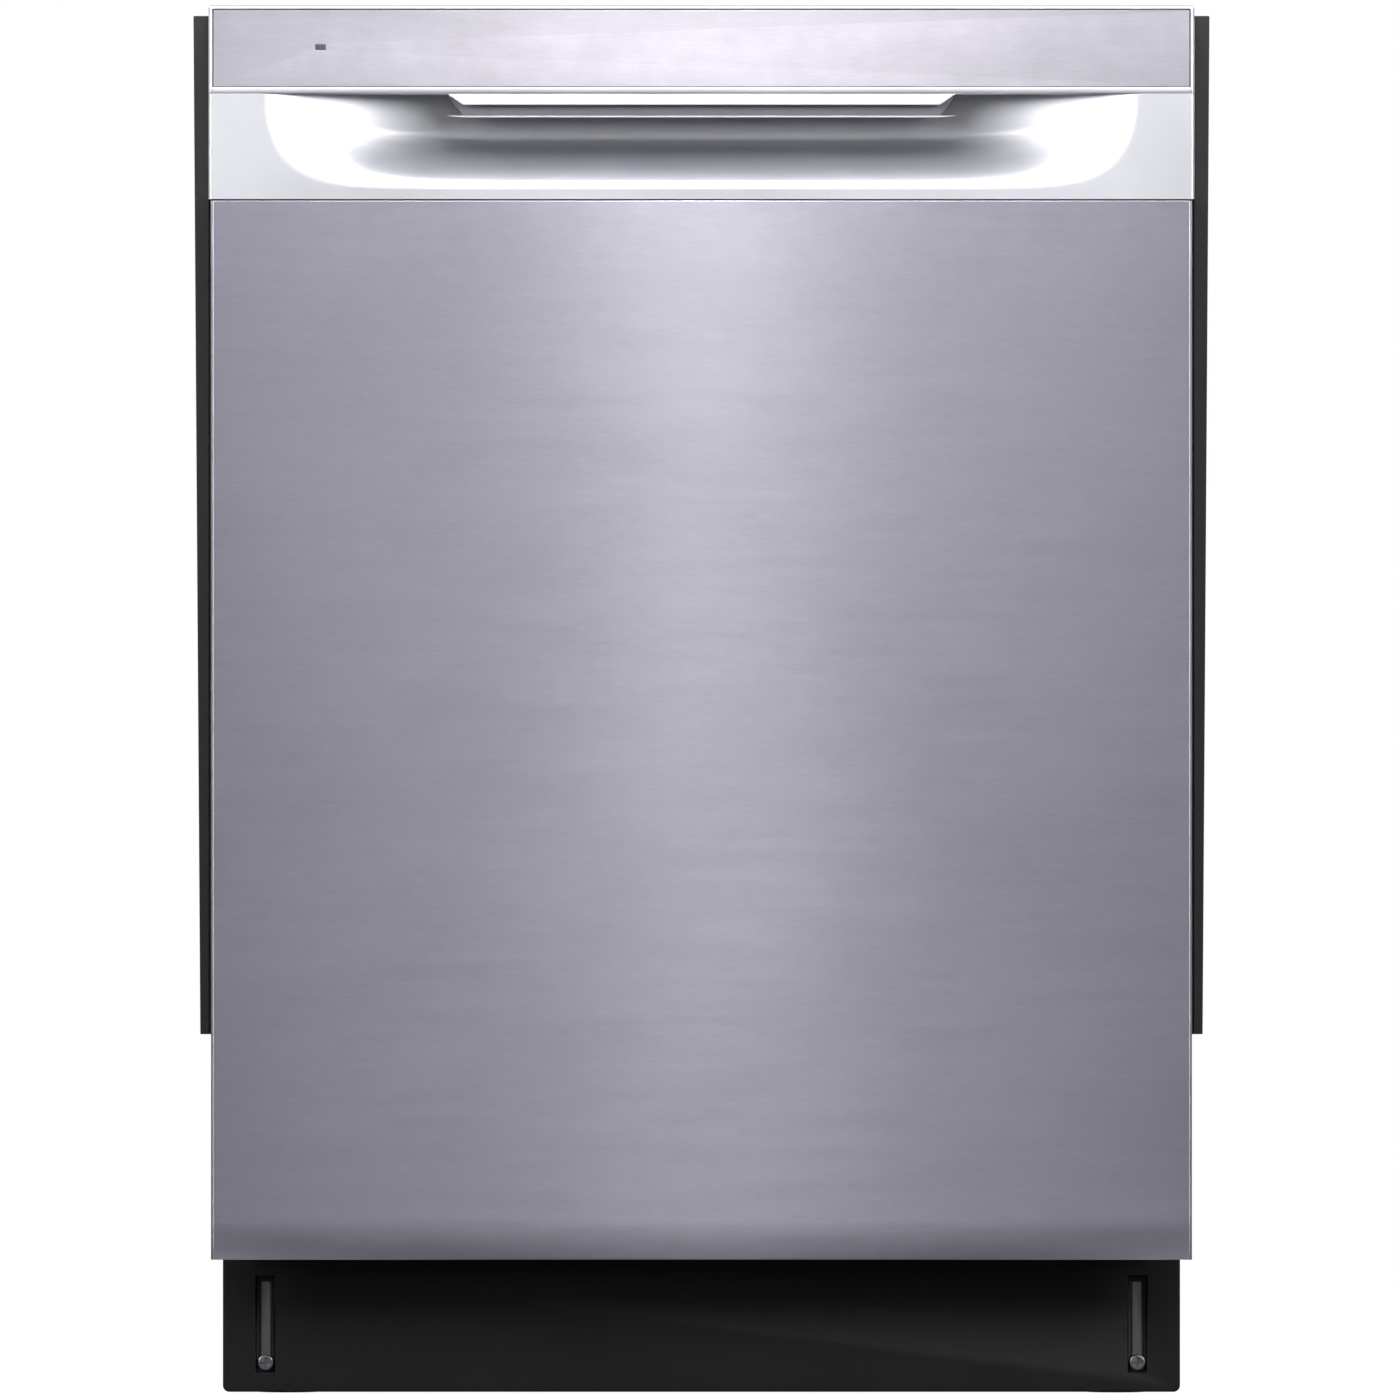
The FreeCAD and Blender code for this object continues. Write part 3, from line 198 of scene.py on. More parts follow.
def mesh_piece(name, corners, faces, material, smooth=True):
    # corners, like every length below that is not called otherwise, are in millimetres
    mesh = bpy.data.meshes.new(name)
    mesh.from_pydata([Vector(c) / 1000.0 for c in corners], [], faces)
    work = bmesh.new()
    work.from_mesh(mesh)
    bmesh.ops.remove_doubles(work, verts=work.verts, dist=1e-6)
    bmesh.ops.dissolve_degenerate(work, edges=work.edges, dist=1e-7)
    bmesh.ops.recalc_face_normals(work, faces=work.faces)
    work.to_mesh(mesh)
    work.free()
    mesh.materials.append(material)
    piece = bpy.data.objects.new(name, mesh)
    scene.collection.objects.link(piece)
    if smooth:
        mesh.shade_smooth()
        mesh.set_sharp_from_angle(angle=math.radians(32))
    return piece


def on_body(piece, body, slot, *stands_for):
    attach(piece, body)
    if stands_for:
        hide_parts(*stands_for)
    return piece


def settle_modifiers(piece):
    # bake the modifiers into a plain mesh
    graph = bpy.context.evaluated_depsgraph_get()
    made = bpy.data.meshes.new_from_object(piece.evaluated_get(graph), depsgraph=graph)
    piece.modifiers.clear()
    piece.data = made
    return piece


def give_thickness(piece, thickness):
    # the wall grows inwards from the face that was made
    wall = piece.modifiers.new("sheet_thickness", "SOLIDIFY")
    wall.thickness = thickness / 1000.0
    wall.offset = -1.0
    return settle_modifiers(piece)


def rounded_profile(half, front, back, radius, steps):
    # plan of a sheet bent round both front edges: points from left rear to right rear
    path = [(-half, back)]
    for i in range(steps + 1):
        turn = math.pi / 2 * i / steps
        path.append((-half + radius - radius * math.cos(turn), front + radius - radius * math.sin(turn)))
    for i in range(steps + 1):
        turn = math.pi / 2 * i / steps
        path.append((half - radius + radius * math.sin(turn), front + radius - radius * math.cos(turn)))
    path.append((half, back))
    return path


door_low, door_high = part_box("outer_door_panel")
door_half = door_high.x * 1000
door_front = door_low.y * 1000
door_bottom = door_low.z * 1000
door_top = door_high.z * 1000
door_rear = door_high.y * 1000

door_steel = brushed(
    "door_steel", (0.50, 0.487, 0.572),
    lines=(90.0, 300.0, 850.0), contrast=0.34, roughness=0.37, wear=0.8, relief=0.00001,
    Anisotropic=0.96, Anisotropic_Rotation=0.25,
)


def folded_door_sheet():
    # the front skin, with a return flange turned in at the bottom and at the top
    row_height = 24.0
    lower_return = 15.0
    upper_return = 8.0
    edge_draw = 0.35
    plan = rounded_profile(door_half, door_front, door_rear, 1.8, 5)
    corners = []
    faces = []
    heights = [door_bottom + row_height * i for i in range(int((door_top - door_bottom) / row_height))]
    heights = [door_bottom, door_bottom + 0.7] + heights[1:] + [door_top - 0.5, door_top]
    for z in heights:
        drawn_in = edge_draw if z in (door_bottom, door_top) else 0.0
        for x, y in plan:
            corners.append((x, y + drawn_in, z))
    wide = len(plan)
    for row in range(len(heights) - 1):
        for i in range(wide - 1):
            a = row * wide + i
            faces.append((a, a + 1, a + wide + 1, a + wide))
    under = len(corners)
    for x, y in plan:
        held = max(-door_half + 2, min(door_half - 2, x))
        corners.append((held, max(door_front + lower_return, y), door_bottom + 0.2))
    for i in range(wide - 1):
        faces.append((i + 1, i, under + i, under + i + 1))
    over = len(corners)
    last = (len(heights) - 1) * wide
    for x, y in plan:
        held = max(-door_half + 2, min(door_half - 2, x))
        corners.append((held, max(door_front + upper_return, y), door_top - 0.2))
    for i in range(wide - 1):
        faces.append((last + i, last + i + 1, over + i + 1, over + i))
    return corners, faces


door_sheet = mesh_piece("door_sheet", *folded_door_sheet(), door_steel)
give_thickness(door_sheet, 0.9)
on_body(door_sheet, "door", "door_steel", "outer_door_panel")

# ---- Handle console ----
# Injection-moulded console finished in satin silver, snapped over the top of the door.
# The finger scoop is a smooth dish, deepest behind the grip lip, and a shallow seat
# above it takes the fascia strip.

console_low, console_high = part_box("handle_console")
console_half = door_half + 1.5
console_bottom = console_low.z * 1000
console_top = console_high.z * 1000
console_rear = console_high.y * 1000
control_low, control_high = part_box("control_strip")
control_front = control_low.y * 1000
control_back = control_high.y * 1000
strip_low, strip_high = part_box("fascia_strip")
seat_gap = 0.4
seat_to_scoop = 4.0
scoop_top = strip_low.z * 1000 - seat_gap - seat_to_scoop
scoop_half = 268.5
scoop_depth = 34.0
scoop_drop = 58.5


def moulded_plastic_group(wear):
    # Fine even grain, slow unevenness of colour and slightly polished edges.
    tree, start, end = shader_group(
        "moulded_plastic",
        (
            ("Colour", "Color", (0.5, 0.5, 0.5, 1.0)),
            ("Grain Scale", "Float", 900.0),
            ("Mottle", "Float", 0.05),
            ("Base Roughness", "Float", 0.5),
            ("Edge Wear", "Float", 0.2),
        ),
        (("Colour", "Color"), ("Roughness", "Float"), ("Height", "Float")),
    )
    place = tree.nodes.new("ShaderNodeTexCoord")
    grain = tree.nodes.new("ShaderNodeTexNoise")
    grain.inputs["Detail"].default_value = 2.0
    join_sockets(
        tree,
        (place.outputs["Object"], grain.inputs["Vector"]),
        (start.outputs["Grain Scale"], grain.inputs["Scale"]),
    )
    cloud = noise_at(tree, place.outputs["Object"], 9.0, 3.0)
    worn = tree.nodes.new("ShaderNodeGroup")
    worn.node_tree = wear
    join_sockets(tree, (start.outputs["Edge Wear"], worn.inputs["Strength"]))
    speck = maths(tree, "SUBTRACT", grain.outputs["Fac"], 0.5)
    slow = maths(tree, "SUBTRACT", cloud, 0.5)
    shade = maths(tree, "MULTIPLY_ADD", slow, start.outputs["Mottle"], 1.0)
    specked = maths(tree, "MULTIPLY_ADD", speck, start.outputs["Mottle"], shade)
    bright = maths(tree, "ADD", specked, maths(tree, "MULTIPLY", worn.outputs[0], 0.4))
    rough = maths(tree, "MULTIPLY_ADD", slow, 0.12, start.outputs["Base Roughness"])
    join_sockets(
        tree,
        (tinted(tree, start.outputs["Colour"], bright), end.inputs["Colour"]),
        (maths(tree, "MULTIPLY_ADD", speck, 0.08, rough), end.inputs["Roughness"]),
        (grain.outputs["Fac"], end.inputs["Height"]),
    )
    return tree


moulded_plastic = moulded_plastic_group(edge_wear)


def moulded(name, colour, grain, mottle, roughness, wear, relief, **shader):
    # relief is the height of the grain in metres
    values = {
        "Colour": (*colour, 1.0),
        "Grain Scale": grain,
        "Mottle": mottle,
        "Base Roughness": roughness,
        "Edge Wear": wear,
    }
    return material_with(name, moulded_plastic, values, relief, **shader)


console_silver = moulded(
    "console_silver", (0.86, 0.87, 0.92),
    grain=2600.0, mottle=0.015, roughness=0.42, wear=0.2, relief=0.000004, Metallic=1.0,
)
# Painted shade: a mask darkens the silver deep in the scoop, in place of the dark room the real one mirrors
# there and the shade under the lip.
silver_tree = console_silver.node_tree
silver_base = silver_tree.nodes["Principled BSDF"].inputs["Base Color"]
deep = silver_tree.nodes.new("ShaderNodeAttribute")
deep.attribute_name = "scoop_painted_shade_share"
painted_scoop_shade = maths(silver_tree, "MULTIPLY_ADD", deep.outputs["Fac"], -0.48, 1.0)
silver_tree.links.new(tinted(silver_tree, silver_base.links[0].from_socket, painted_scoop_shade), silver_base)


def scoop_low(x):
    # the lower outline: level over most of its length, with boxy rounded corners
    share = min(abs(x) / scoop_half, 1.0)
    return scoop_top - scoop_drop * (1.0 - share ** 14) ** 0.4545


def scoop_depth_at(x, rise):
    # an S-shaped ramp from the lower lip up to the floor, which the dished ends reach later
    floor_starts = 0.57
    later_at_ends = 0.22
    share = min(abs(x) / scoop_half, 1.0)
    full = (1.0 - share ** 6) ** 1.7
    run = min(rise / (floor_starts + later_at_ends * (1.0 - full)), 1.0)
    return scoop_depth * full * run * run * (3.0 - 2.0 * run)


def edge_setback(gap, radius):
    # how far a rounded edge falls back at a distance from the outline
    if gap >= radius:
        return 0.0
    return radius - math.sqrt(max(0.0, radius ** 2 - (radius - gap) ** 2))


def console_columns():
    # places across the console, closest together where its shape changes fastest
    rounded_end = [0.0, 0.25, 0.6, 0.86, 0.93, 1.3, 1.8, 4.0, 10.0, 20.0]
    scoop_steps = 90
    outer = [-console_half + inset for inset in rounded_end]
    scoop = [-scoop_half * (1 - (1 - i / scoop_steps) ** 2.3) for i in range(scoop_steps + 1)]
    places = set(outer + scoop)
    places |= {-x for x in places}
    places |= {control_low.x * 1000, control_high.x * 1000}
    places |= {-door_half + 0.88, -door_half + 0.9, door_half - 0.9, door_half - 0.88}
    return sorted(places)


def console_front_mesh():
    # at each place across, a loop of points: front, scoop, seat of the strip, top and rear
    seat_top = console_top - 2.2
    seat_depth = 1.5
    top_round = 1.4
    side_round = 1.6
    skirt_depth = 6.0
    seat_bottom = strip_low.z * 1000 - seat_gap
    seat_half = door_half - 0.9
    columns = console_columns()
    corners = []
    faces = []
    # shares of the height below the scoop, then of the scoop's own height
    below = [0.0, 0.02, 0.05, 0.3, 0.6, 0.8, 0.9, 0.96, 1.0]
    scoop_rows = 30
    inside = [(i / scoop_rows) ** 1.3 for i in range(scoop_rows + 1)]
    for x in columns:
        column = []
        low = scoop_low(x)
        for share in below:
            column.append((console_bottom + (low - console_bottom) * share, 0.0))
        for rise in inside:
            column.append((low + (scoop_top - low) * rise, scoop_depth_at(x, rise)))
        column.append((scoop_top, 0.5))
        column.append((scoop_top + 0.15, 0.15))
        column.append((scoop_top + 0.5, 0.0))
        column.append((seat_bottom - 0.3, 0.0))
        seat = seat_depth if abs(x) < seat_half + 0.001 else 0.0
        column.append((seat_bottom, 0.1 if seat else 0.0))
        column.append((seat_bottom + 0.02, seat))
        column.append((seat_top - 0.02, seat))
        column.append((seat_top, 0.1 if seat else 0.0))
        for gap in (1.6, 1.0, 0.5, 0.2, 0.0):
            column.append((console_top - gap, edge_setback(gap, top_round)))
        side = edge_setback(console_half - abs(x), side_round)
        for z, back in column:
            corners.append((x, door_front + max(back, side), z))
        for y in (control_front, control_back, console_rear):
            corners.append((x, y, console_top))
        corners.append((x, console_rear, console_bottom))
        corners.append((x, door_front + skirt_depth, console_bottom))
    tall = len(corners) // len(columns)
    for i in range(len(columns) - 1):
        for j in range(tall - 3):
            a = i * tall + j
            faces.append((a, a + tall, a + tall + 1, a + 1))
        a = i * tall
        faces.append((a + tall - 1, a + 2 * tall - 1, a + tall, a))
        faces.append((a + tall - 2, a + 2 * tall - 2, a + 2 * tall - 1, a + tall - 1))
    return columns, tall, corners, faces


def open_for_controls(columns, tall, faces):
    # the flat top, five points before the end of each loop, is left open for the strip
    left = control_low.x * 1000
    right = control_high.x * 1000
    kept = []
    for face in faces:
        column = face[0] // tall
        x = (columns[column] + columns[column + 1]) / 2
        on_top = min(point % tall for point in face) == tall - 5
        if not (on_top and left < x < right):
            kept.append(face)
    return kept


console_cols, console_tall, console_corners, console_faces = console_front_mesh()
console_faces = open_for_controls(console_cols, console_tall, console_faces)
for end in (0, len(console_cols) - 1):
    first = end * console_tall
    ring = list(range(first, first + console_tall))
    console_faces.append(tuple(ring if end else reversed(ring)))
console = mesh_piece("console_moulding", console_corners, console_faces, console_silver)
console.data.set_sharp_from_angle(angle=math.radians(50))
# Shares of the scoop's depth: where the painted-shade mask starts, and how much deeper it is full.
mask_start = 0.3
mask_run = 0.65
painted_shade_share = console.data.attributes.new("scoop_painted_shade_share", "FLOAT", "POINT")
for corner, share in zip(console.data.vertices, painted_shade_share.data):
    x, y, z = corner.co * 1000
    inside = abs(x) < scoop_half and scoop_low(x) < z < scoop_top + 0.01
    deepness = ((y - door_front) / scoop_depth - mask_start) / mask_run
    reach = min(1.0, max(0.0, deepness)) if inside else 0.0
    share.value = reach * reach * (3.0 - 2.0 * reach)
on_body(console, "door", "console_silver", "handle_console")

# ---- Grip lip ----
# A separate grey insert clipped along the top of the scoop. The fingers pull behind
# its front bar, and the ends are cut at a slant.

grip_grey = moulded(
    "grip_grey", (0.87, 0.87, 0.91),
    grain=1800.0, mottle=0.02, roughness=0.42, wear=0.5, relief=0.000006, Metallic=0.45,
)


def soften(piece, width, segments=2):
    # small rounded edges wherever two faces meet at more than 35 degrees
    bevel = piece.modifiers.new("eased_edges", "BEVEL")
    bevel.width = width / 1000.0
    bevel.segments = segments
    bevel.limit_method = "ANGLE"
    bevel.angle_limit = math.radians(35)
    bevel.use_clamp_overlap = True
    bevel.harden_normals = True
    return settle_modifiers(piece)


def slanted_bar(top_half, low_half, front, back, low, top):
    # a flat bar whose ends lean in towards its lower edge
    corners = []
    for y in (front, back):
        corners += [(-top_half, y, top), (-low_half, y, low), (low_half, y, low), (top_half, y, top)]
    faces = [(0, 1, 2, 3), (7, 6, 5, 4), (0, 4, 5, 1), (1, 5, 6, 2), (2, 6, 7, 3), (3, 7, 4, 0)]
    return corners, faces


grip_face = mesh_piece(
    "grip_face",
    *slanted_bar(155.5, 145.8, door_front + 0.05, door_front + 3.0, scoop_top - 6.7, scoop_top - 0.1),
    grip_grey,
)
soften(grip_face, 0.5, 3)
on_body(grip_face, "door", "grip_grey", "grip_insert")
# The bar behind the front bar is near black: painted shadow for the hollow under the lip.
grip_painted_shadow = moulded(
    "grip_painted_shadow", (0.21, 0.21, 0.23),
    grain=1500.0, mottle=0.05, roughness=0.5, wear=0.6, relief=0.000008,
)
grip_bar = mesh_piece(
    "grip_bar",
    *slanted_bar(155.6, 146.0, door_front + 7.0, door_front + 9.0, scoop_top - 13.4, scoop_top - 0.2),
    grip_painted_shadow,
)
soften(grip_bar, 0.6)
on_body(grip_bar, "door", "grip_grey")
grip_bead = mesh_piece(
    "grip_bead",
    *slanted_bar(155.9, 146.2, door_front + 6.4, door_front + 9.4, scoop_top - 14.2, scoop_top - 13.2),
    grip_grey,
)
soften(grip_bead, 0.4)
on_body(grip_bead, "door", "grip_grey")

# ---- Fascia strip and indicator ----
# Thin brushed stainless strip set flush in the console, corners rounded, with a small
# window for the running light. Near-black strips fill the gap round it and the
# seam between the console and the door sheet, as painted shadow in those gaps.

fascia_steel = brushed(
    "fascia_steel", (0.59, 0.575, 0.645),
    lines=(90.0, 300.0, 850.0), contrast=0.34, roughness=0.40, wear=0.6, relief=0.00001,
    Anisotropic=0.9, Anisotropic_Rotation=0.25,
)


def eased_copy(node, name, width, material, body, slot):
    # a CAD piece with the small rounded edges that pressing and moulding leave
    mesh = node_objects[node].data.copy()
    work = bmesh.new()
    work.from_mesh(mesh)
    bmesh.ops.remove_doubles(work, verts=work.verts, dist=2e-6)
    bmesh.ops.dissolve_limit(
        work, angle_limit=math.radians(1.0), verts=work.verts, edges=work.edges
    )
    work.to_mesh(mesh)
    work.free()
    mesh.materials.clear()
    mesh.materials.append(material)
    piece = bpy.data.objects.new(name, mesh)
    scene.collection.objects.link(piece)
    mesh.shade_smooth()
    mesh.set_sharp_from_angle(angle=math.radians(32))
    soften(piece, width)
    return on_body(piece, body, slot, node)


eased_copy("fascia_strip", "fascia_sheet", 0.25, fascia_steel, "door", "fascia_steel")


def bar_shape(x0, x1, y0, y1, z0, z1):
    # a plain block
    corners = [(x, y, z) for x in (x0, x1) for y in (y0, y1) for z in (z0, z1)]
    faces = [(0, 1, 3, 2), (4, 6, 7, 5), (0, 4, 5, 1), (2, 3, 7, 6), (0, 2, 6, 4), (1, 5, 7, 3)]
    return corners, faces


def together(*shapes):
    # several shapes in one mesh
    corners = []
    faces = []
    for more_corners, more_faces in shapes:
        first = len(corners)
        corners += more_corners
        faces += [tuple(first + i for i in face) for face in more_faces]
    return corners, faces


# Painted shadow: a near-black matte colour for the strips set in the gaps.
gap_shadow_black = moulded(
    "gap_shadow_black", (0.012, 0.012, 0.013),
    grain=2200.0, mottle=0.4, roughness=0.85, wear=0.0, relief=0.00005,
)


def gap_shadow_frame():
    # four runs round the strip, and a longer one below the console
    outer = door_half - 0.95
    inner = strip_high.x * 1000 + 0.05
    high = console_top - 2.25
    strip_top = strip_high.z * 1000 + 0.05
    strip_foot = strip_low.z * 1000 - 0.05
    low = strip_low.z * 1000 - 0.36
    front = door_front + 0.55
    back = door_front + 1.42
    return together(
        bar_shape(-outer, -inner, front, back, low, high),
        bar_shape(inner, outer, front, back, low, high),
        bar_shape(-inner, inner, front, back, strip_top, high),
        bar_shape(-inner, inner, front, back, low, strip_foot),
        bar_shape(
            -door_half + 1.2, door_half - 1.2, door_front + 0.9, door_front + 5.5,
            door_top + 0.06, console_bottom - 0.06,
        ),
    )


foam_tape = mesh_piece("foam_tape", *gap_shadow_frame(), gap_shadow_black, smooth=False)
on_body(foam_tape, "door", "seal_rubber")

indicator_smoked = moulded(
    "indicator_smoked", (0.10, 0.075, 0.13),
    grain=400.0, mottle=0.1, roughness=0.15, wear=0.1, relief=0.000002, Coat_Weight=0.6,
)
eased_copy("indicator_lens", "indicator_window", 0.3, indicator_smoked, "door", "indicator")

# ---- Toe panel ----
# Black powder-coated sheet below the door, set well back. Two upright grooves hold
# the slots that let it move up or down before its screws are tightened.

kick_black = moulded(
    "kick_black", (0.006, 0.006, 0.0075),
    grain=1400.0, mottle=0.25, roughness=0.42, wear=0.6, relief=0.00003,
)
eased_copy("toe_kick_panel", "toe_panel_sheet", 0.9, kick_black, "toe_panel", "kick_black")

screw_black = brushed(
    "screw_black", (0.34, 0.34, 0.36),
    lines=(300.0, 300.0, 300.0), contrast=0.3, roughness=0.32, wear=2.0, relief=0.00002,
)
eased_copy("toe_kick_screws", "toe_panel_screws", 0.35, screw_black, "chassis", "screw_black")

# ---- Side seals ----
# Black rubber flaps fixed to the sides of the tub frame. They close the gap to the
# cupboards, standing out furthest at the top and folding in lower down.

seal_rubber = moulded(
    "seal_rubber", (0.016, 0.016, 0.018),
    grain=700.0, mottle=0.3, roughness=0.55, wear=0.4, relief=0.00004, Sheen_Weight=0.05,
)
for side_name in ("left", "right"):
    eased_copy(
        "side_seal_" + side_name, "side_flap_" + side_name, 0.5, seal_rubber, "chassis", "seal_rubber"
    )

# ---- Control strip and keys ----
# Glossy black strip let into the top edge of the door, with four soft-cornered keys
# standing in it. It is covered by the worktop when the door is shut.

control_black = moulded(
    "control_black", (0.012, 0.012, 0.014),
    grain=300.0, mottle=0.2, roughness=0.16, wear=0.3, relief=0.000003, Coat_Weight=0.5,
)
eased_copy("control_strip", "control_strip_gloss", 0.3, control_black, "door", "control_black")
key_grey = moulded(
    "key_grey", (0.30, 0.31, 0.33),
    grain=1500.0, mottle=0.06, roughness=0.38, wear=0.9, relief=0.00001,
)
for number in range(1, 5):
    eased_copy(
        "control_key_%d" % number, "key_cap_%d" % number, 0.7, key_grey, "key_%d" % number, "key_grey"
    )

# ---- Door liner ----
# Bright annealed stainless pressing that closes the inside of the door. Its rim is
# screwed to the outer sheet down both sides.

liner_steel = brushed(
    "liner_steel", (0.66, 0.66, 0.67),
    lines=(700.0, 700.0, 24.0), contrast=0.10, roughness=0.33, wear=0.5, relief=0.000003,
)
eased_copy("inner_door_panel", "door_liner", 1.0, liner_steel, "door", "liner_steel")


def node_tree_for(name, inputs):
    # a geometry tree with one mesh input and named sizes
    tree = bpy.data.node_groups.new(name, "GeometryNodeTree")
    tree.interface.new_socket("Geometry", in_out="INPUT", socket_type="NodeSocketGeometry")
    for label, kind, value in inputs:
        socket = tree.interface.new_socket(label, in_out="INPUT", socket_type="NodeSocket" + kind)
        if value is not None:
            socket.default_value = value
    tree.interface.new_socket("Geometry", in_out="OUTPUT", socket_type="NodeSocketGeometry")
    return tree, tree.nodes.new("NodeGroupInput"), tree.nodes.new("NodeGroupOutput")


def finished_geometry(tree, start, end, made):
    # every tree ends in real geometry with its material on
    whole = tree.nodes.new("GeometryNodeRealizeInstances")
    painted = tree.nodes.new("GeometryNodeSetMaterial")
    join_sockets(
        tree,
        (made, whole.inputs[0]),
        (whole.outputs[0], painted.inputs["Geometry"]),
        (start.outputs["Material"], painted.inputs["Material"]),
        (painted.outputs[0], end.inputs[0]),
    )


def repeated_fitting_tree():
    # one fitting set down on every point, all turned the same way
    tree, start, end = node_tree_for(
        "repeated_fitting",
        (
            ("Fitting", "Object", None),
            ("Turn", "Rotation", None),
            ("Size", "Float", 1.0),
            ("Material", "Material", None),
        ),
    )
    spots = tree.nodes.new("GeometryNodeMeshToPoints")
    fitting = tree.nodes.new("GeometryNodeObjectInfo")
    placed = tree.nodes.new("GeometryNodeInstanceOnPoints")
    join_sockets(
        tree,
        (start.outputs["Geometry"], spots.inputs["Mesh"]),
        (start.outputs["Fitting"], fitting.inputs["Object"]),
        (spots.outputs[0], placed.inputs["Points"]),
        (fitting.outputs["Geometry"], placed.inputs["Instance"]),
        (start.outputs["Turn"], placed.inputs["Rotation"]),
        (start.outputs["Size"], placed.inputs["Scale"]),
    )
    finished_geometry(tree, start, end, placed.outputs[0])
    return tree


repeated_fitting = repeated_fitting_tree()


def grown(name, tree, points, links, values, material):
    # run a geometry tree on points and links given in millimetres, and keep the mesh
    seed = bpy.data.meshes.new(name)
    seed.from_pydata([Vector(p) / 1000.0 for p in points], links, [])
    piece = bpy.data.objects.new(name, seed)
    scene.collection.objects.link(piece)
    modifier = piece.modifiers.new("grown", "NODES")
    modifier.node_group = tree
    sockets = {
        item.name: item.identifier
        for item in tree.interface.items_tree
        if item.item_type == "SOCKET" and item.in_out == "INPUT"
    }
    for label, value in values.items():
        modifier[sockets[label]] = value
    modifier[sockets["Material"]] = material
    settle_modifiers(piece)
    piece.data.shade_smooth()
    piece.data.set_sharp_from_angle(angle=math.radians(40))
    return piece


def turned_shape(profile, steps, close=True):
    # profile is (radius, height) from bottom to top, turned about the upright axis
    corners = []
    faces = []
    for radius, height in profile:
        for i in range(steps):
            turn = 2 * math.pi * i / steps
            corners.append((radius * math.cos(turn), radius * math.sin(turn), height))
    for row in range(len(profile) - 1):
        for i in range(steps):
            a = row * steps + i
            b = row * steps + (i + 1) % steps
            faces.append((a, b, b + steps, a + steps))
    if close:
        faces.append(tuple(reversed(range(steps))))
        faces.append(tuple(range((len(profile) - 1) * steps, len(profile) * steps)))
    return corners, faces


def fitting_pattern(name, corners, faces):
    # an unlinked object that a geometry tree copies
    mesh = bpy.data.meshes.new(name)
    mesh.from_pydata([Vector(c) / 1000.0 for c in corners], [], faces)
    return bpy.data.objects.new(name, mesh)


def pan_head(radius, height):
    # a domed screw head with a star-shaped sinking
    steps = 24
    rows = [(radius, 0.0), (radius, height * 0.35), (radius * 0.86, height * 0.8), (radius * 0.6, height)]
    corners, faces = turned_shape(rows, steps, False)
    sunk = len(corners)
    for i in range(steps):
        turn = 2 * math.pi * i / steps
        reach = radius * (0.40 if (i % 4) < 2 else 0.20)
        corners.append((reach * math.cos(turn), reach * math.sin(turn), height))
    for i in range(steps):
        turn = 2 * math.pi * i / steps
        reach = radius * (0.34 if (i % 4) < 2 else 0.16)
        corners.append((reach * math.cos(turn), reach * math.sin(turn), height * 0.35))
    above = sunk - steps
    for i in range(steps):
        j = (i + 1) % steps
        faces.append((above + i, above + j, sunk + j, sunk + i))
        faces.append((sunk + i, sunk + j, sunk + steps + j, sunk + steps + i))
    faces.append(tuple(sunk + steps + i for i in range(steps)))
    faces.append(tuple(reversed(range(steps))))
    return corners, faces


liner_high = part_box("inner_door_panel")[1]
liner_screw = fitting_pattern("liner_screw_pattern", *pan_head(3.4, 1.6))
liner_back = liner_high.y * 1000
liner_rim = liner_back - 22.5
lowest_screw = 190.0
screw_pitch = 84.0
liner_screw_spots = []
for side in (-1, 1):
    for i in range(7):
        liner_screw_spots.append((side * (door_half - 7.0), liner_rim, lowest_screw + screw_pitch * i))
screw_zinc = brushed(
    "screw_zinc", (0.55, 0.55, 0.53),
    lines=(400.0, 400.0, 400.0), contrast=0.25, roughness=0.3, wear=1.5, relief=0.00002,
)
liner_screws = grown(
    "liner_screws",
    repeated_fitting,
    liner_screw_spots,
    [],
    {"Fitting": liner_screw, "Turn": (math.radians(-90.0), 0.0, 0.0), "Size": 1.0},
    screw_zinc,
)
on_body(liner_screws, "door", "zinc_steel")

# ---- Dispenser ----
# Grey moulded housing let into the liner, with a sprung flap over the powder cup and a
# blue-grey screw cap over the rinse-aid tank.

dispenser_plastic = moulded(
    "dispenser_plastic", (0.36, 0.37, 0.39),
    grain=1200.0, mottle=0.08, roughness=0.45, wear=0.8, relief=0.00002,
)
dispenser_blue = moulded(
    "dispenser_blue", (0.10, 0.16, 0.30),
    grain=1200.0, mottle=0.08, roughness=0.4, wear=0.9, relief=0.00002,
)
eased_copy("detergent_dispenser", "dispenser_housing", 0.8, dispenser_plastic, "door", "dispenser_plastic")
eased_copy("dispenser_lid", "dispenser_flap", 0.6, dispenser_plastic, "lid", "dispenser_plastic")
eased_copy("rinse_aid_cap", "rinse_aid_cap_blue", 0.7, dispenser_blue, "rinse_cap", "dispenser_blue")
lid_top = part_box("dispenser_lid")[1].z * 1000
lid_rib = fitting_pattern("lid_rib_pattern", *bar_shape(-30, 30, -0.1, 0.7, -0.6, 0.6))
lid_ribs = grown(
    "dispenser_flap_ribs",
    repeated_fitting,
    [(-29.0, liner_back + 4.7, lid_top - 9.0 - 4.0 * i) for i in range(5)],
    [],
    {"Fitting": lid_rib, "Size": 1.0},
    dispenser_plastic,
)
on_body(lid_ribs, "lid", "dispenser_plastic")

# ---- Latch and hinges ----
# Black latch case with a steel bolt, pressed hinge arms screwed to the door and zinc
# plated brackets with pivot pins on the base.

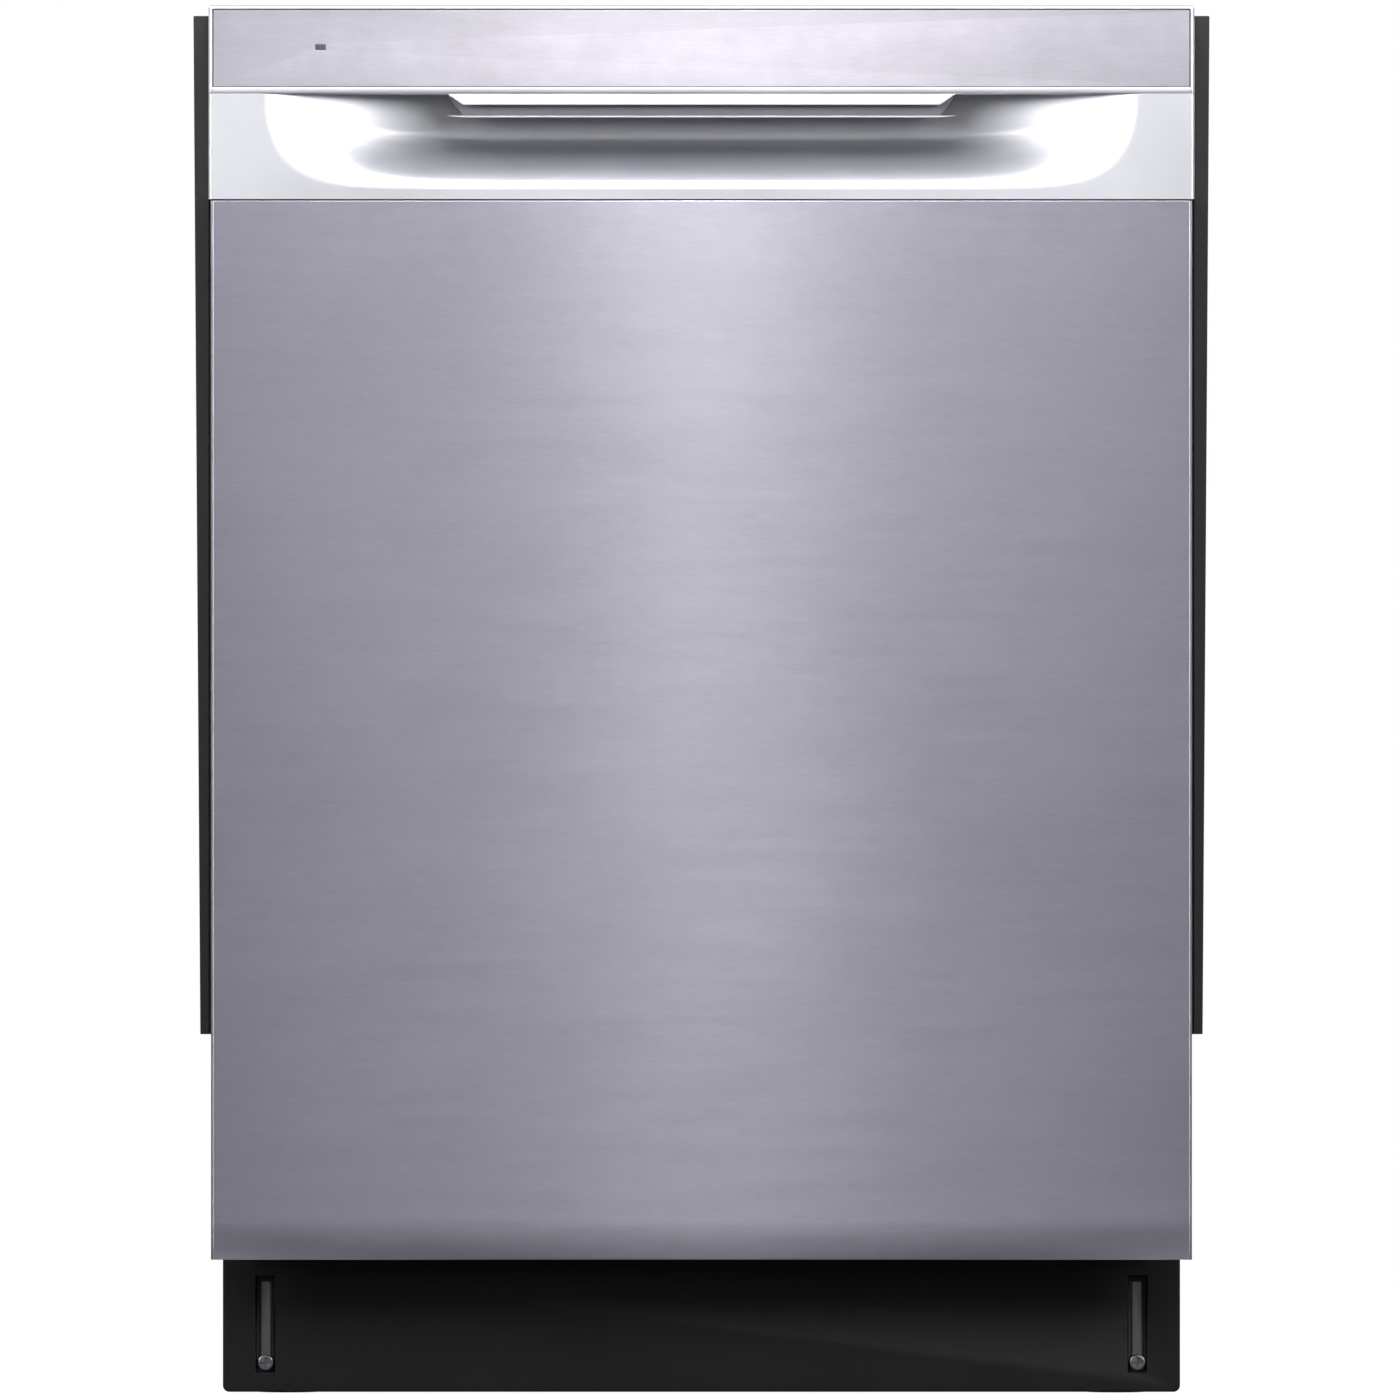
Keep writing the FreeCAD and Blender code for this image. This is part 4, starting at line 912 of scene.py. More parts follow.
latch_plastic = moulded(
    "latch_plastic", (0.02, 0.02, 0.022),
    grain=1000.0, mottle=0.2, roughness=0.5, wear=0.6, relief=0.00002,
)
zinc_plate = brushed(
    "zinc_plate", (0.50, 0.51, 0.50),
    lines=(30.0, 30.0, 30.0), contrast=0.35, roughness=0.38, wear=1.2, relief=0.00003,
)
eased_copy("door_latch", "latch_case", 0.6, latch_plastic, "door", "latch_plastic")
eased_copy("latch_bolt", "latch_bolt_steel", 0.3, screw_zinc, "bolt", "zinc_steel")
eased_copy("latch_strike", "latch_strike_plate", 0.4, zinc_plate, "chassis", "zinc_steel")
eased_copy("mounting_brackets", "worktop_tabs", 0.3, zinc_plate, "chassis", "zinc_steel")
for side_name in ("left", "right"):
    eased_copy("hinge_arm_" + side_name, "hinge_lever_" + side_name, 0.5, zinc_plate, "door", "zinc_steel")
    eased_copy(
        "hinge_bracket_" + side_name, "hinge_plate_" + side_name, 0.5, zinc_plate, "chassis", "zinc_steel"
    )

# ---- Counterbalance springs ----
# Close-coiled drawn wire springs lying along each side of the base. One end hooks into
# the lever of the hinge arm, the other is anchored in the base.


def bent_wire_tree():
    # every run of links becomes a round wire with its corners bent to one radius
    tree, start, end = node_tree_for(
        "bent_wire",
        (
            ("Wire Radius", "Float", 0.002),
            ("Bend Radius", "Float", 0.012),
            ("Sides", "Int", 8),
            ("Material", "Material", None),
        ),
    )
    run = tree.nodes.new("GeometryNodeMeshToCurve")
    bent = tree.nodes.new("GeometryNodeFilletCurve")
    bent.mode = "POLY"
    bent.inputs["Count"].default_value = 5
    bent.inputs["Limit Radius"].default_value = True
    outline = tree.nodes.new("GeometryNodeCurvePrimitiveCircle")
    drawn = tree.nodes.new("GeometryNodeCurveToMesh")
    drawn.inputs["Fill Caps"].default_value = True
    join_sockets(
        tree,
        (start.outputs["Geometry"], run.inputs["Mesh"]),
        (run.outputs[0], bent.inputs["Curve"]),
        (start.outputs["Bend Radius"], bent.inputs["Radius"]),
        (start.outputs["Sides"], outline.inputs["Resolution"]),
        (start.outputs["Wire Radius"], outline.inputs["Radius"]),
        (bent.outputs[0], drawn.inputs["Curve"]),
        (outline.outputs[0], drawn.inputs["Profile Curve"]),
    )
    finished_geometry(tree, start, end, drawn.outputs[0])
    return tree


bent_wire = bent_wire_tree()


def wire_runs(runs):
    # runs of points joined end to end; a run that ends on its first point is a ring
    points = []
    links = []
    for run in runs:
        closed = run[0] == run[-1] and len(run) > 2
        body = run[:-1] if closed else run
        first = len(points)
        points += body
        links += [(first + i, first + i + 1) for i in range(len(body) - 1)]
        if closed:
            links.append((first + len(body) - 1, first))
    return points, links


def wires(name, runs, radius, bend, sides, material):
    # radius of the wire, radius of its bends and number of sides of its outline
    points, links = wire_runs(runs)
    values = {"Wire Radius": radius / 1000.0, "Bend Radius": bend / 1000.0, "Sides": sides}
    return grown(name, bent_wire, points, links, values, material)


spring_steel = brushed(
    "spring_steel", (0.34, 0.34, 0.35),
    lines=(500.0, 500.0, 500.0), contrast=0.3, roughness=0.33, wear=0.6, relief=0.00002,
)


hinge_pivot_y = -270.0
hinge_pivot_z = 118.0


def spring_run(side):
    # hook, straight end, coil and straight end, from the hinge lever to the rear
    coil_turns = 44
    coil_steps = 10
    coil_length = 96.0
    coil_radius = 2.2
    x = side * 285.2
    y = hinge_pivot_y + 25.0
    z = hinge_pivot_z - 22.0
    middle = x + side * 1.2
    run = [(x + side * 4.0, y, z), (x, y, z), (x, y + 58.0, z)]
    for i in range(coil_turns * coil_steps + 1):
        turn = 2 * math.pi * i / coil_steps
        along = y + 62.0 + coil_length * i / (coil_turns * coil_steps)
        run.append((middle + coil_radius * math.cos(turn), along, z + coil_radius * math.sin(turn)))
    return run + [(middle, y + 162.0, z), (middle, y + 200.0, z)]


for side, side_name in ((-1, "left"), (1, "right")):
    spring = wires("door_spring_" + side_name, [spring_run(side)], 0.9, 0.2, 6, spring_steel)
    on_body(spring, "chassis", "spring_steel", "door_springs")

# ---- Base, legs and water connections ----
# Galvanised steel tray on four screw-in legs. The pumps, the inlet valve and the cable
# box are fixed inside it.

base_galvanised = brushed(
    "base_galvanised", (0.24, 0.245, 0.25),
    lines=(42.0, 44.0, 46.0), contrast=0.4, roughness=0.45, wear=0.8, relief=0.000012,
)
eased_copy("base_frame", "base_tray", 0.6, base_galvanised, "chassis", "zinc_steel")
eased_copy("junction_box", "cable_box", 0.6, base_galvanised, "chassis", "zinc_steel")
leg_nylon = moulded(
    "leg_nylon", (0.02, 0.02, 0.021),
    grain=900.0, mottle=0.3, roughness=0.5, wear=0.8, relief=0.00004,
)


def threaded_leg(x, y):
    # a moulded foot with a six-sided collar under a threaded stem
    thread_pitch = 1.5
    foot = [(18.4, 0.0), (19.0, 0.8), (18.8, 2.2), (15.4, 7.4), (14.6, 8.0), (6.2, 8.2), (6.2, 15.0)]
    thread = []
    for i in range(37):
        height = 15.2 + thread_pitch * i
        thread += [(5.2, height), (6.0, height + 0.5), (6.0, height + 0.8), (5.2, height + 1.3)]
    corners, faces = turned_shape(foot + thread + [(4.6, 71.6)], 24)
    nut = []
    for height, radius in ((8.1, 9.4), (8.6, 10.0), (14.5, 10.0), (15.0, 9.4)):
        for i in range(6):
            turn = math.pi / 3 * i
            nut.append((radius * math.cos(turn), radius * math.sin(turn), height))
    nut_faces = [tuple(reversed(range(6))), tuple(range(18, 24))]
    for row in range(3):
        for i in range(6):
            a = row * 6 + i
            b = row * 6 + (i + 1) % 6
            nut_faces.append((a, b, b + 6, a + 6))
    corners, faces = together((corners, faces), (nut, nut_faces))
    return [(cx + x, cy + y, cz) for cx, cy, cz in corners], faces


for corner in ("front_left", "front_right", "rear_left", "rear_right"):
    leg_low, leg_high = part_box("leg_" + corner)
    leg_x = (leg_low.x + leg_high.x) * 500
    leg_y = (leg_low.y + leg_high.y) * 500
    leg_piece = mesh_piece("levelling_leg_" + corner, *threaded_leg(leg_x, leg_y), leg_nylon)
    on_body(leg_piece, corner + "_leg", "leg_plastic", "leg_" + corner)

pump_plastic = moulded(
    "pump_plastic", (0.05, 0.052, 0.056),
    grain=800.0, mottle=0.2, roughness=0.48, wear=0.5, relief=0.00003,
)
eased_copy("circulation_pump", "wash_pump", 1.6, pump_plastic, "chassis", "pump_plastic")
eased_copy("drain_pump", "drain_pump_body", 1.2, pump_plastic, "chassis", "pump_plastic")
basin_height = 110.0
sump_radius = 88.0
pump_rib = fitting_pattern(
    "pump_rib_pattern", *turned_shape([(26.0, 0), (27.6, 0.4), (27.6, 1.6), (26.0, 2.0)], 40)
)
motor_front = sump_radius + 68.0
motor_z = 25.0 + (basin_height - 28.0) / 2
pump_ribs = grown(
    "wash_pump_ribs",
    repeated_fitting,
    [(motor_front + 7.0 * i, 40.0, motor_z) for i in range(7)],
    [],
    {"Fitting": pump_rib, "Turn": (0.0, math.radians(90.0), 0.0), "Size": 1.0},
    pump_plastic,
)
on_body(pump_ribs, "chassis", "pump_plastic")
valve_plastic = moulded(
    "valve_plastic", (0.62, 0.63, 0.62),
    grain=700.0, mottle=0.08, roughness=0.45, wear=0.3, relief=0.00003,
)
eased_copy("inlet_valve", "inlet_valve_body", 1.0, valve_plastic, "chassis", "valve_plastic")

# ---- Tub ----
# Bright annealed stainless wrapper, back, floor and pressed mouth frame, welded into one
# watertight box.

tub_steel = brushed(
    "tub_steel", (0.66, 0.66, 0.67),
    lines=(700.0, 700.0, 24.0), contrast=0.10, roughness=0.32, wear=0.5, relief=0.000003,
)
eased_copy("tub_wrapper", "tub_sides_and_roof", 0.5, tub_steel, "chassis", "tub_steel")
eased_copy("tub_floor", "tub_floor_pressing", 0.9, tub_steel, "chassis", "tub_steel")
eased_copy("tub_front_frame", "tub_mouth_frame", 1.2, tub_steel, "chassis", "tub_steel")


def pressed_back():
    # the back with two rows of shallow stiffening panels pressed into it
    low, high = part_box("tub_back_panel")
    half = high.x * 1000
    back_face = high.y * 1000
    foot = low.z * 1000
    top = high.z * 1000
    tall = top - foot
    corner_radius = 23.6
    panel_depth = 1.0
    panel_slope = 9.0
    across = 120
    up = 140
    corners = []
    faces = []
    for j in range(up + 1):
        for i in range(across + 1):
            x = -half + 2 * half * i / across
            z = foot + tall * j / up
            corner_x = abs(x) - (half - corner_radius)
            corner_z = z - (top - corner_radius)
            if corner_x > 0 and corner_z > 0:
                reach = math.hypot(corner_x, corner_z)
                if reach > corner_radius:
                    x = math.copysign(half - corner_radius + corner_x * corner_radius / reach, x)
                    z = top - corner_radius + corner_z * corner_radius / reach
            relief = 0.0
            for cx in (-half * 0.5, half * 0.5):
                for cz in (foot + tall * 0.27, foot + tall * 0.70):
                    gap = max(abs(x - cx) - half * 0.36, abs(z - cz) - tall * 0.17)
                    relief = max(relief, min(1.0, max(0.0, -gap / panel_slope)))
            ease = relief * relief * (3 - 2 * relief)
            corners.append((x, back_face - panel_depth * ease, z))
    for j in range(up):
        for i in range(across):
            a = j * (across + 1) + i
            faces.append((a, a + across + 1, a + across + 2, a + 1))
    return corners, faces


tub_back = mesh_piece("tub_back_pressing", *pressed_back(), tub_steel)
give_thickness(tub_back, 0.6)
on_body(tub_back, "chassis", "tub_steel", "tub_back_panel")

# ---- Door gasket ----
# Extruded rubber tube pressed into the frame round the tub's mouth, open along the
# bottom where the door's lower edge seals by itself.

gasket_rubber = moulded(
    "gasket_rubber", (0.03, 0.03, 0.032),
    grain=600.0, mottle=0.25, roughness=0.6, wear=0.1, relief=0.00004,
)
gasket_low, gasket_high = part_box("tub_gasket")
gasket_inset = 2.1
gasket_foot = gasket_low.z * 1000 + 1.0
gasket_x = gasket_high.x * 1000 - gasket_inset
gasket_y = (gasket_low.y + gasket_high.y) * 500
gasket_z = gasket_high.z * 1000 - gasket_inset
gasket_run = [
    (-gasket_x, gasket_y, gasket_foot),
    (-gasket_x, gasket_y, gasket_z),
    (gasket_x, gasket_y, gasket_z),
    (gasket_x, gasket_y, gasket_foot),
]
gasket = wires("door_gasket", [gasket_run], 1.72, 19.0, 12, gasket_rubber)
on_body(gasket, "chassis", "gasket_rubber", "tub_gasket")

# ---- Sound blanket ----
# Fibre felt wrapped in one piece over the sides and roof of the tub, stitched across in
# channels that hold the fibre in place.


def felt_material():
    material = bpy.data.materials.new("blanket_felt")
    material.use_nodes = True
    tree = material.node_tree
    surface = tree.nodes["Principled BSDF"]
    place = tree.nodes.new("ShaderNodeTexCoord")
    fibres = tree.nodes.new("ShaderNodeTexNoise")
    fibres.inputs["Scale"].default_value = 260.0
    fibres.inputs["Detail"].default_value = 8.0
    fibres.inputs["Roughness"].default_value = 0.75
    fibres.inputs["Distortion"].default_value = 2.2
    tufts = tree.nodes.new("ShaderNodeTexNoise")
    tufts.inputs["Scale"].default_value = 40.0
    tufts.inputs["Detail"].default_value = 5.0
    shades = tree.nodes.new("ShaderNodeValToRGB")
    shades.color_ramp.elements[0].position = 0.35
    shades.color_ramp.elements[0].color = (0.035, 0.036, 0.04, 1.0)
    shades.color_ramp.elements[1].position = 0.72
    shades.color_ramp.elements[1].color = (0.20, 0.20, 0.21, 1.0)
    relief = tree.nodes.new("ShaderNodeBump")
    relief.inputs["Distance"].default_value = 0.0006
    fibre_part = maths(tree, "MULTIPLY", fibres.outputs["Fac"], 0.7)
    tuft_part = maths(tree, "MULTIPLY", tufts.outputs["Fac"], 0.3)
    mixed = maths(tree, "ADD", fibre_part, tuft_part)
    join_sockets(
        tree,
        (place.outputs["Object"], fibres.inputs["Vector"]),
        (place.outputs["Object"], tufts.inputs["Vector"]),
        (mixed, shades.inputs["Fac"]),
        (shades.outputs["Color"], surface.inputs["Base Color"]),
        (mixed, relief.inputs["Height"]),
        (relief.outputs["Normal"], surface.inputs["Normal"]),
    )
    surface.inputs["Roughness"].default_value = 0.95
    surface.inputs["Sheen Weight"].default_value = 0.4
    return material


def blanket_surface():
    # up the left side, over the roof and down the right side: place and outward direction
    low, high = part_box("sound_blanket")
    half = high.x * 1000 - 1.2
    top = high.z * 1000 - 1.2
    foot = low.z * 1000
    front = low.y * 1000
    rear = high.y * 1000
    bend = 29.0
    side_steps = 70
    bend_steps = 10
    roof_steps = 60
    path = []
    rise = top - bend - foot
    for i in range(side_steps):
        path.append((-half, foot + rise * i / side_steps, -1.0, 0.0))
    for i in range(bend_steps):
        turn = math.pi / 2 * i / bend_steps
        side, up = math.cos(turn), math.sin(turn)
        path.append((-half + bend - bend * side, top - bend + bend * up, -side, up))
    flat = 2 * (half - bend)
    for i in range(roof_steps):
        path.append((-half + bend + flat * i / roof_steps, top, 0.0, 1.0))
    for i in range(bend_steps):
        turn = math.pi / 2 * i / bend_steps
        side, up = math.sin(turn), math.cos(turn)
        path.append((half - bend + bend * side, top - bend + bend * up, side, up))
    for i in range(side_steps + 1):
        path.append((half, top - bend - rise * i / side_steps, 1.0, 0.0))
    deep = 72
    channel_pitch = 96.0
    corners = []
    faces = []
    walked = 0.0
    for k, (x, z, nx, nz) in enumerate(path):
        if k:
            walked += math.hypot(x - path[k - 1][0], z - path[k - 1][1])
        for j in range(deep + 1):
            y = front + (rear - front) * j / deep
            channel = abs(math.sin(math.pi * walked / channel_pitch))
            seam = 1.0 - 1.6 * math.exp(-((channel / 0.10) ** 2))
            edge = min(1.0, min(y - front, rear - y) / 12.0)
            soft = 0.5 * math.sin(walked / 31.0 + y / 47.0) + 0.4 * math.sin(walked / 17.0 - y / 29.0)
            puff = 0.9 * seam * edge + 0.35 * soft - 0.5
            puff = max(-1.6, min(1.1, puff))
            corners.append((x + nx * puff, y, z + nz * puff))
    wide = deep + 1
    for k in range(len(path) - 1):
        for j in range(deep):
            a = k * wide + j
            faces.append((a, a + 1, a + wide + 1, a + wide))
    return corners, faces


blanket_felt = felt_material()
blanket = mesh_piece("felt_blanket", *blanket_surface(), blanket_felt)
blanket.data.set_sharp_from_angle(angle=math.radians(180))
give_thickness(blanket, 3.6)
on_body(blanket, "chassis", "blanket_felt", "sound_blanket")

# ---- Sump and filters ----
# Moulded sump pot in the basin, a perforated stainless fine filter over it and a
# twist-out coarse filter cylinder.


def perforated_group():
    # rows of small round holes, dark inside, sunk into the sheet
    tree, start, end = shader_group(
        "perforated_sheet",
        (
            ("Colour", "Color", (0.5, 0.5, 0.5, 1.0)),
            ("Pitch", "Float", 0.0026),
            ("Hole Share", "Float", 0.28),
            ("Base Roughness", "Float", 0.3),
        ),
        (("Colour", "Color"), ("Roughness", "Float"), ("Height", "Float")),
    )
    place = tree.nodes.new("ShaderNodeTexCoord")
    axes = tree.nodes.new("ShaderNodeSeparateXYZ")
    tree.links.new(place.outputs["Object"], axes.inputs[0])
    squares = []
    for axis in (0, 1):
        step = maths(tree, "DIVIDE", axes.outputs[axis], start.outputs["Pitch"])
        local = maths(tree, "SUBTRACT", maths(tree, "FRACT", step), 0.5)
        squares.append(maths(tree, "MULTIPLY", local, local))
    from_centre = maths(tree, "SQRT", maths(tree, "ADD", *squares))
    gap = maths(tree, "SUBTRACT", from_centre, start.outputs["Hole Share"])
    sheet_here = tree.nodes.new("ShaderNodeClamp")
    tree.links.new(maths(tree, "MULTIPLY_ADD", gap, 14.0, 0.5), sheet_here.inputs["Value"])
    cloud = noise_at(tree, place.outputs["Object"], 30.0)
    hole_shade = maths(tree, "MULTIPLY_ADD", sheet_here.outputs[0], 0.94, 0.06)
    bright = maths(tree, "MULTIPLY", hole_shade, maths(tree, "MULTIPLY_ADD", cloud, 0.2, 0.9))
    join_sockets(
        tree,
        (tinted(tree, start.outputs["Colour"], bright), end.inputs["Colour"]),
        (maths(tree, "MULTIPLY_ADD", cloud, 0.2, start.outputs["Base Roughness"]), end.inputs["Roughness"]),
        (sheet_here.outputs[0], end.inputs["Height"]),
    )
    return tree


perforated_sheet = perforated_group()
filter_steel = material_with(
    "filter_steel",
    perforated_sheet,
    {"Colour": (0.5, 0.5, 0.5, 1.0), "Pitch": 0.0026, "Hole Share": 0.27, "Base Roughness": 0.22},
    0.0003,
    Metallic=1.0,
)
filter_plastic = material_with(
    "filter_plastic",
    perforated_sheet,
    {"Colour": (0.18, 0.18, 0.19, 1.0), "Pitch": 0.0034, "Hole Share": 0.3, "Base Roughness": 0.4},
    0.0003,
)
sump_plastic = moulded(
    "sump_plastic", (0.09, 0.09, 0.095),
    grain=700.0, mottle=0.15, roughness=0.5, wear=0.5, relief=0.00003,
)
eased_copy("sump_body", "sump_pot", 0.9, sump_plastic, "chassis", "sump_plastic")
eased_copy("filter_plate", "fine_filter", 0.3, filter_steel, "chassis", "filter_steel")
eased_copy("filter_cylinder", "coarse_filter", 0.6, filter_plastic, "filter", "filter_plastic")

# ---- Water feed and float ----
# Moulded pipe clipped up the back and along the roof, and the float that stops the
# filling when the water stands too high.

arm_plastic = moulded(
    "arm_plastic", (0.27, 0.28, 0.30),
    grain=900.0, mottle=0.1, roughness=0.42, wear=0.6, relief=0.00003,
)
eased_copy("feed_tube", "feed_pipe", 1.8, arm_plastic, "chassis", "arm_plastic")
eased_copy("water_float", "float_bell", 0.8, arm_plastic, "float", "arm_plastic")

# ---- Spray arms ----
# Hollow moulded blades with a ridge along the top and a row of raised nozzles on each
# side. Each turns on a spigot through its middle.


def spray_blade(reach, wide, low, high):
    # a blunt-ended blade, narrower and thinner outwards, with a ridge along its top
    corners = []
    faces = []
    stations = 56
    around = 20
    for i in range(stations + 1):
        share = -1.0 + 2.0 * i / stations
        x = reach * math.sin(share * math.pi / 2)
        far = abs(x) / reach
        blunt = math.sqrt(max(0.0, 1.0 - max(0.0, (far - 0.93) / 0.07) ** 2))
        half = (wide / 2) * (1.0 - 0.32 * far) * max(blunt, 0.02)
        rise = (high - low) / 2 * max(0.25, blunt) * (1.0 - 0.10 * far)
        middle = (low + high) / 2
        for j in range(around):
            turn = 2 * math.pi * j / around
            cy = math.copysign(abs(math.cos(turn)) ** 0.7, math.cos(turn))
            cz = math.copysign(abs(math.sin(turn)) ** 0.8, math.sin(turn))
            ridge = 1.0 if cz <= 0 else 0.72 + 0.28 * math.exp(-((cy / 0.35) ** 2))
            corners.append((x, half * cy, middle + rise * cz * ridge))
    for i in range(stations):
        for j in range(around):
            a = i * around + j
            b = i * around + (j + 1) % around
            faces.append((a, a + around, b + around, b))
    faces.append(tuple(range(around)))
    faces.append(tuple(reversed(range(stations * around, (stations + 1) * around))))
    return corners, faces


def bored_hub(outer, bore, low, high):
    # a ring with rounded rims that turns on the spigot
    rim = 1.2
    profile = [
        (bore, low), (outer - rim, low), (outer, low + rim), (outer, high - rim),
        (outer - rim, high), (bore + 0.4, high), (bore, high - 0.4), (bore, low),
    ]
    return turned_shape(profile, 40, False)


nozzle_pattern = fitting_pattern(
    "nozzle_pattern",
    *turned_shape([(3.4, -0.6), (3.4, 0.5), (2.8, 0.95), (1.6, 0.95), (1.3, 0.2), (0.4, -0.1)], 14),
)
# level, reach, width, hub radius, bore radius, jets on a side, blade lift, blade thickness
arm_specs = (
    ("lower", 225.0, 50.0, 22.0, 12.05, 9, 8.0, 9.0),
    ("middle", 212.0, 44.0, 18.0, 10.05, 8, 6.0, 8.0),
    ("top", 110.0, 36.0, 16.0, 10.05, 4, 5.0, 7.0),
)
for level, reach, wide, hub_radius, bore_radius, jets, lift, thick in arm_specs:
    body = level + "_arm"
    arm_low, arm_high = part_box(level + "_spray_arm")
    hub_low = arm_low.z * 1000
    hub_high = arm_high.z * 1000
    blade_low = hub_low + lift
    blade_high = blade_low + thick
    blade = mesh_piece(
        "spray_blade_" + level, *spray_blade(reach, wide, blade_low, blade_high), arm_plastic
    )
    opening = hub_radius - 1.5
    cutter = fitting_pattern(
        "cutter_" + level, *turned_shape([(opening, hub_low - 5), (opening, hub_high + 5)], 40)
    )
    cut = blade.modifiers.new("hub_opening", "BOOLEAN")
    cut.operation = "DIFFERENCE"
    cut.solver = "EXACT"
    cut.object = cutter
    settle_modifiers(blade)
    on_body(blade, body, "arm_plastic", level + "_spray_arm")
    hub = mesh_piece(
        "spray_hub_" + level, *bored_hub(hub_radius, bore_radius, hub_low, hub_high), arm_plastic
    )
    on_body(hub, body, "arm_plastic")
    spots = []
    for side in (-1, 1):
        for i in range(jets):
            x = side * (hub_radius + 12.0 + (reach - hub_radius - 30.0) * i / (jets - 1))
            spots.append((x, side * (3.0 if i % 2 else -3.0), blade_high - 0.6))
    jets_piece = grown(
        "spray_jets_" + level,
        repeated_fitting,
        spots,
        [],
        {"Fitting": nozzle_pattern, "Size": 1.0},
        dispenser_blue,
    )
    on_body(jets_piece, body, "arm_plastic")

# ---- Lower rack ----
# Welded steel wires coated in grey vinyl, with two rows of plate tines and moulded
# hangers that carry the wheels.


def coated_wire_group():
    # vinyl coat: slightly uneven, glossy, a little darker in places
    tree, start, end = shader_group(
        "coated_wire",
        (("Colour", "Color", (0.4, 0.4, 0.4, 1.0)), ("Base Roughness", "Float", 0.35)),
        (("Colour", "Color"), ("Roughness", "Float"), ("Height", "Float")),
    )
    place = tree.nodes.new("ShaderNodeTexCoord")
    lumps = noise_at(tree, place.outputs["Object"], 180.0, 2.0)
    patches = noise_at(tree, place.outputs["Object"], 14.0, 4.0)
    shade = maths(tree, "MULTIPLY_ADD", patches, 0.22, 0.89)
    rough = maths(tree, "MULTIPLY_ADD", patches, 0.16, start.outputs["Base Roughness"])
    join_sockets(
        tree,
        (tinted(tree, start.outputs["Colour"], shade), end.inputs["Colour"]),
        (rough, end.inputs["Roughness"]),
        (lumps, end.inputs["Height"]),
    )
    return tree


coated_wire = coated_wire_group()
rack_vinyl = material_with(
    "rack_vinyl",
    coated_wire,
    {"Colour": (0.30, 0.31, 0.33, 1.0), "Base Roughness": 0.24},
    0.0002,
    Coat_Weight=0.3,
)


def evenly(low, high, count):
    # places spread from one end to the other, both ends included
    return [low + (high - low) * i / (count - 1) for i in range(count)]


def rack_runs(half, y0, y1, low, high, across, along):
    # U-shaped wires across and along the rack, which make its floor and its walls
    runs = []
    for y in evenly(y0 + 30.0, y1 - 30.0, across):
        runs.append([(-half + 4, y, high), (-half + 4, y, low), (half - 4, y, low), (half - 4, y, high)])
    for x in evenly(-half + 34.0, half - 34.0, along):
        z = low - 4.0
        runs.append([(x, y0 + 4, high), (x, y0 + 4, z), (x, y1 - 4, z), (x, y1 - 4, high)])
    return runs


def flat_ring(half, y0, y1, z):
    # a level closed wire, the same distance out on the left and on the right
    ring = [(-half, y0, z), (half, y0, z), (half, y1, z), (-half, y1, z)]
    return ring + [ring[0]]


lower_floor = 167.0
lower_top = 332.0
rack_front = -240.0
rack_back = 236.0
lower_half = 240.0
lower_wires = wires(
    "lower_rack_wires",
    rack_runs(lower_half, rack_front, rack_back, lower_floor, lower_top, 15, 11),
    1.9, 14.0, 8, rack_vinyl,
)
on_body(lower_wires, "lower_basket", "rack_vinyl", "lower_rack")
lower_rings = wires(
    "lower_rack_rings",
    [
        flat_ring(lower_half, rack_front, rack_back, lower_top - 3.0),
        flat_ring(lower_half, rack_front, rack_back, lower_top - 44.0),
        flat_ring(lower_half, rack_front, rack_back, (lower_floor + lower_top) / 2),
    ],
    2.0, 14.0, 8, rack_vinyl,
)
on_body(lower_rings, "lower_basket", "rack_vinyl")
tine_runs = []
for x in (-lower_half + 110.0, -lower_half + 230.0):
    tine_runs.append([(x, rack_front + 26.0, lower_floor + 5.6), (x, rack_back - 26.0, lower_floor + 5.6)])
    for y in evenly(rack_front + 30.0, rack_back - 30.0, 15):
        tine_runs.append(
            [(x, y, lower_floor + 3.8), (x, y, lower_floor + 70.0), (x + 3.0, y, lower_floor + 82.0)]
        )
lower_tines = wires("lower_rack_tines", tine_runs, 1.6, 6.0, 8, rack_vinyl)
on_body(lower_tines, "lower_basket", "rack_vinyl")


def hanger_shape(side, y):
    left, right = sorted((side * (lower_half + 2.1), side * (lower_half + 5.0)))
    return bar_shape(left, right, y - 9.0, y + 9.0, 138.0, lower_floor + 90.0)


wheel_plastic = moulded(
    "wheel_plastic", (0.24, 0.25, 0.27),
    grain=900.0, mottle=0.12, roughness=0.45, wear=0.9, relief=0.00003,
)
wheel_rows = (rack_front + 100.0, rack_back - 86.0)
wheel_z = 145.0
wheel_inner = lower_half + 6.0
hanger_parts = []
for side in (-1, 1):
    for y in wheel_rows:
        hanger_parts.append(hanger_shape(side, y))
        axle, axle_faces = turned_shape([(2.6, 0.0), (3.0, 0.4), (3.0, 12.6), (2.6, 13.0)], 20)
        axle = [(side * (lower_half + 4.9) + side * az, y + ax, wheel_z + ay) for ax, ay, az in axle]
        hanger_parts.append((axle, axle_faces))
hangers = mesh_piece("wheel_hangers", *together(*hanger_parts), wheel_plastic)
soften(hangers, 0.8)
on_body(hangers, "lower_basket", "wheel_plastic")


def wheel_shape(side, y):
    # hub, thin disc and tyre in one turned outline
    profile = [
        (3.1, 0.0), (5.4, 0.0), (6.0, 0.6), (6.0, 3.0), (12.4, 3.4), (12.8, 0.8), (15.8, 0.3),
        (16.5, 1.0), (16.5, 10.0), (15.8, 10.7), (12.8, 10.2), (12.4, 7.6), (6.0, 8.0),
        (6.0, 10.4), (5.4, 11.0), (3.1, 11.0), (3.1, 0.0),
    ]
    corners, faces = turned_shape(profile, 36, False)
    return [(side * (wheel_inner + cz), y + cx, wheel_z + cy) for cx, cy, cz in corners], faces


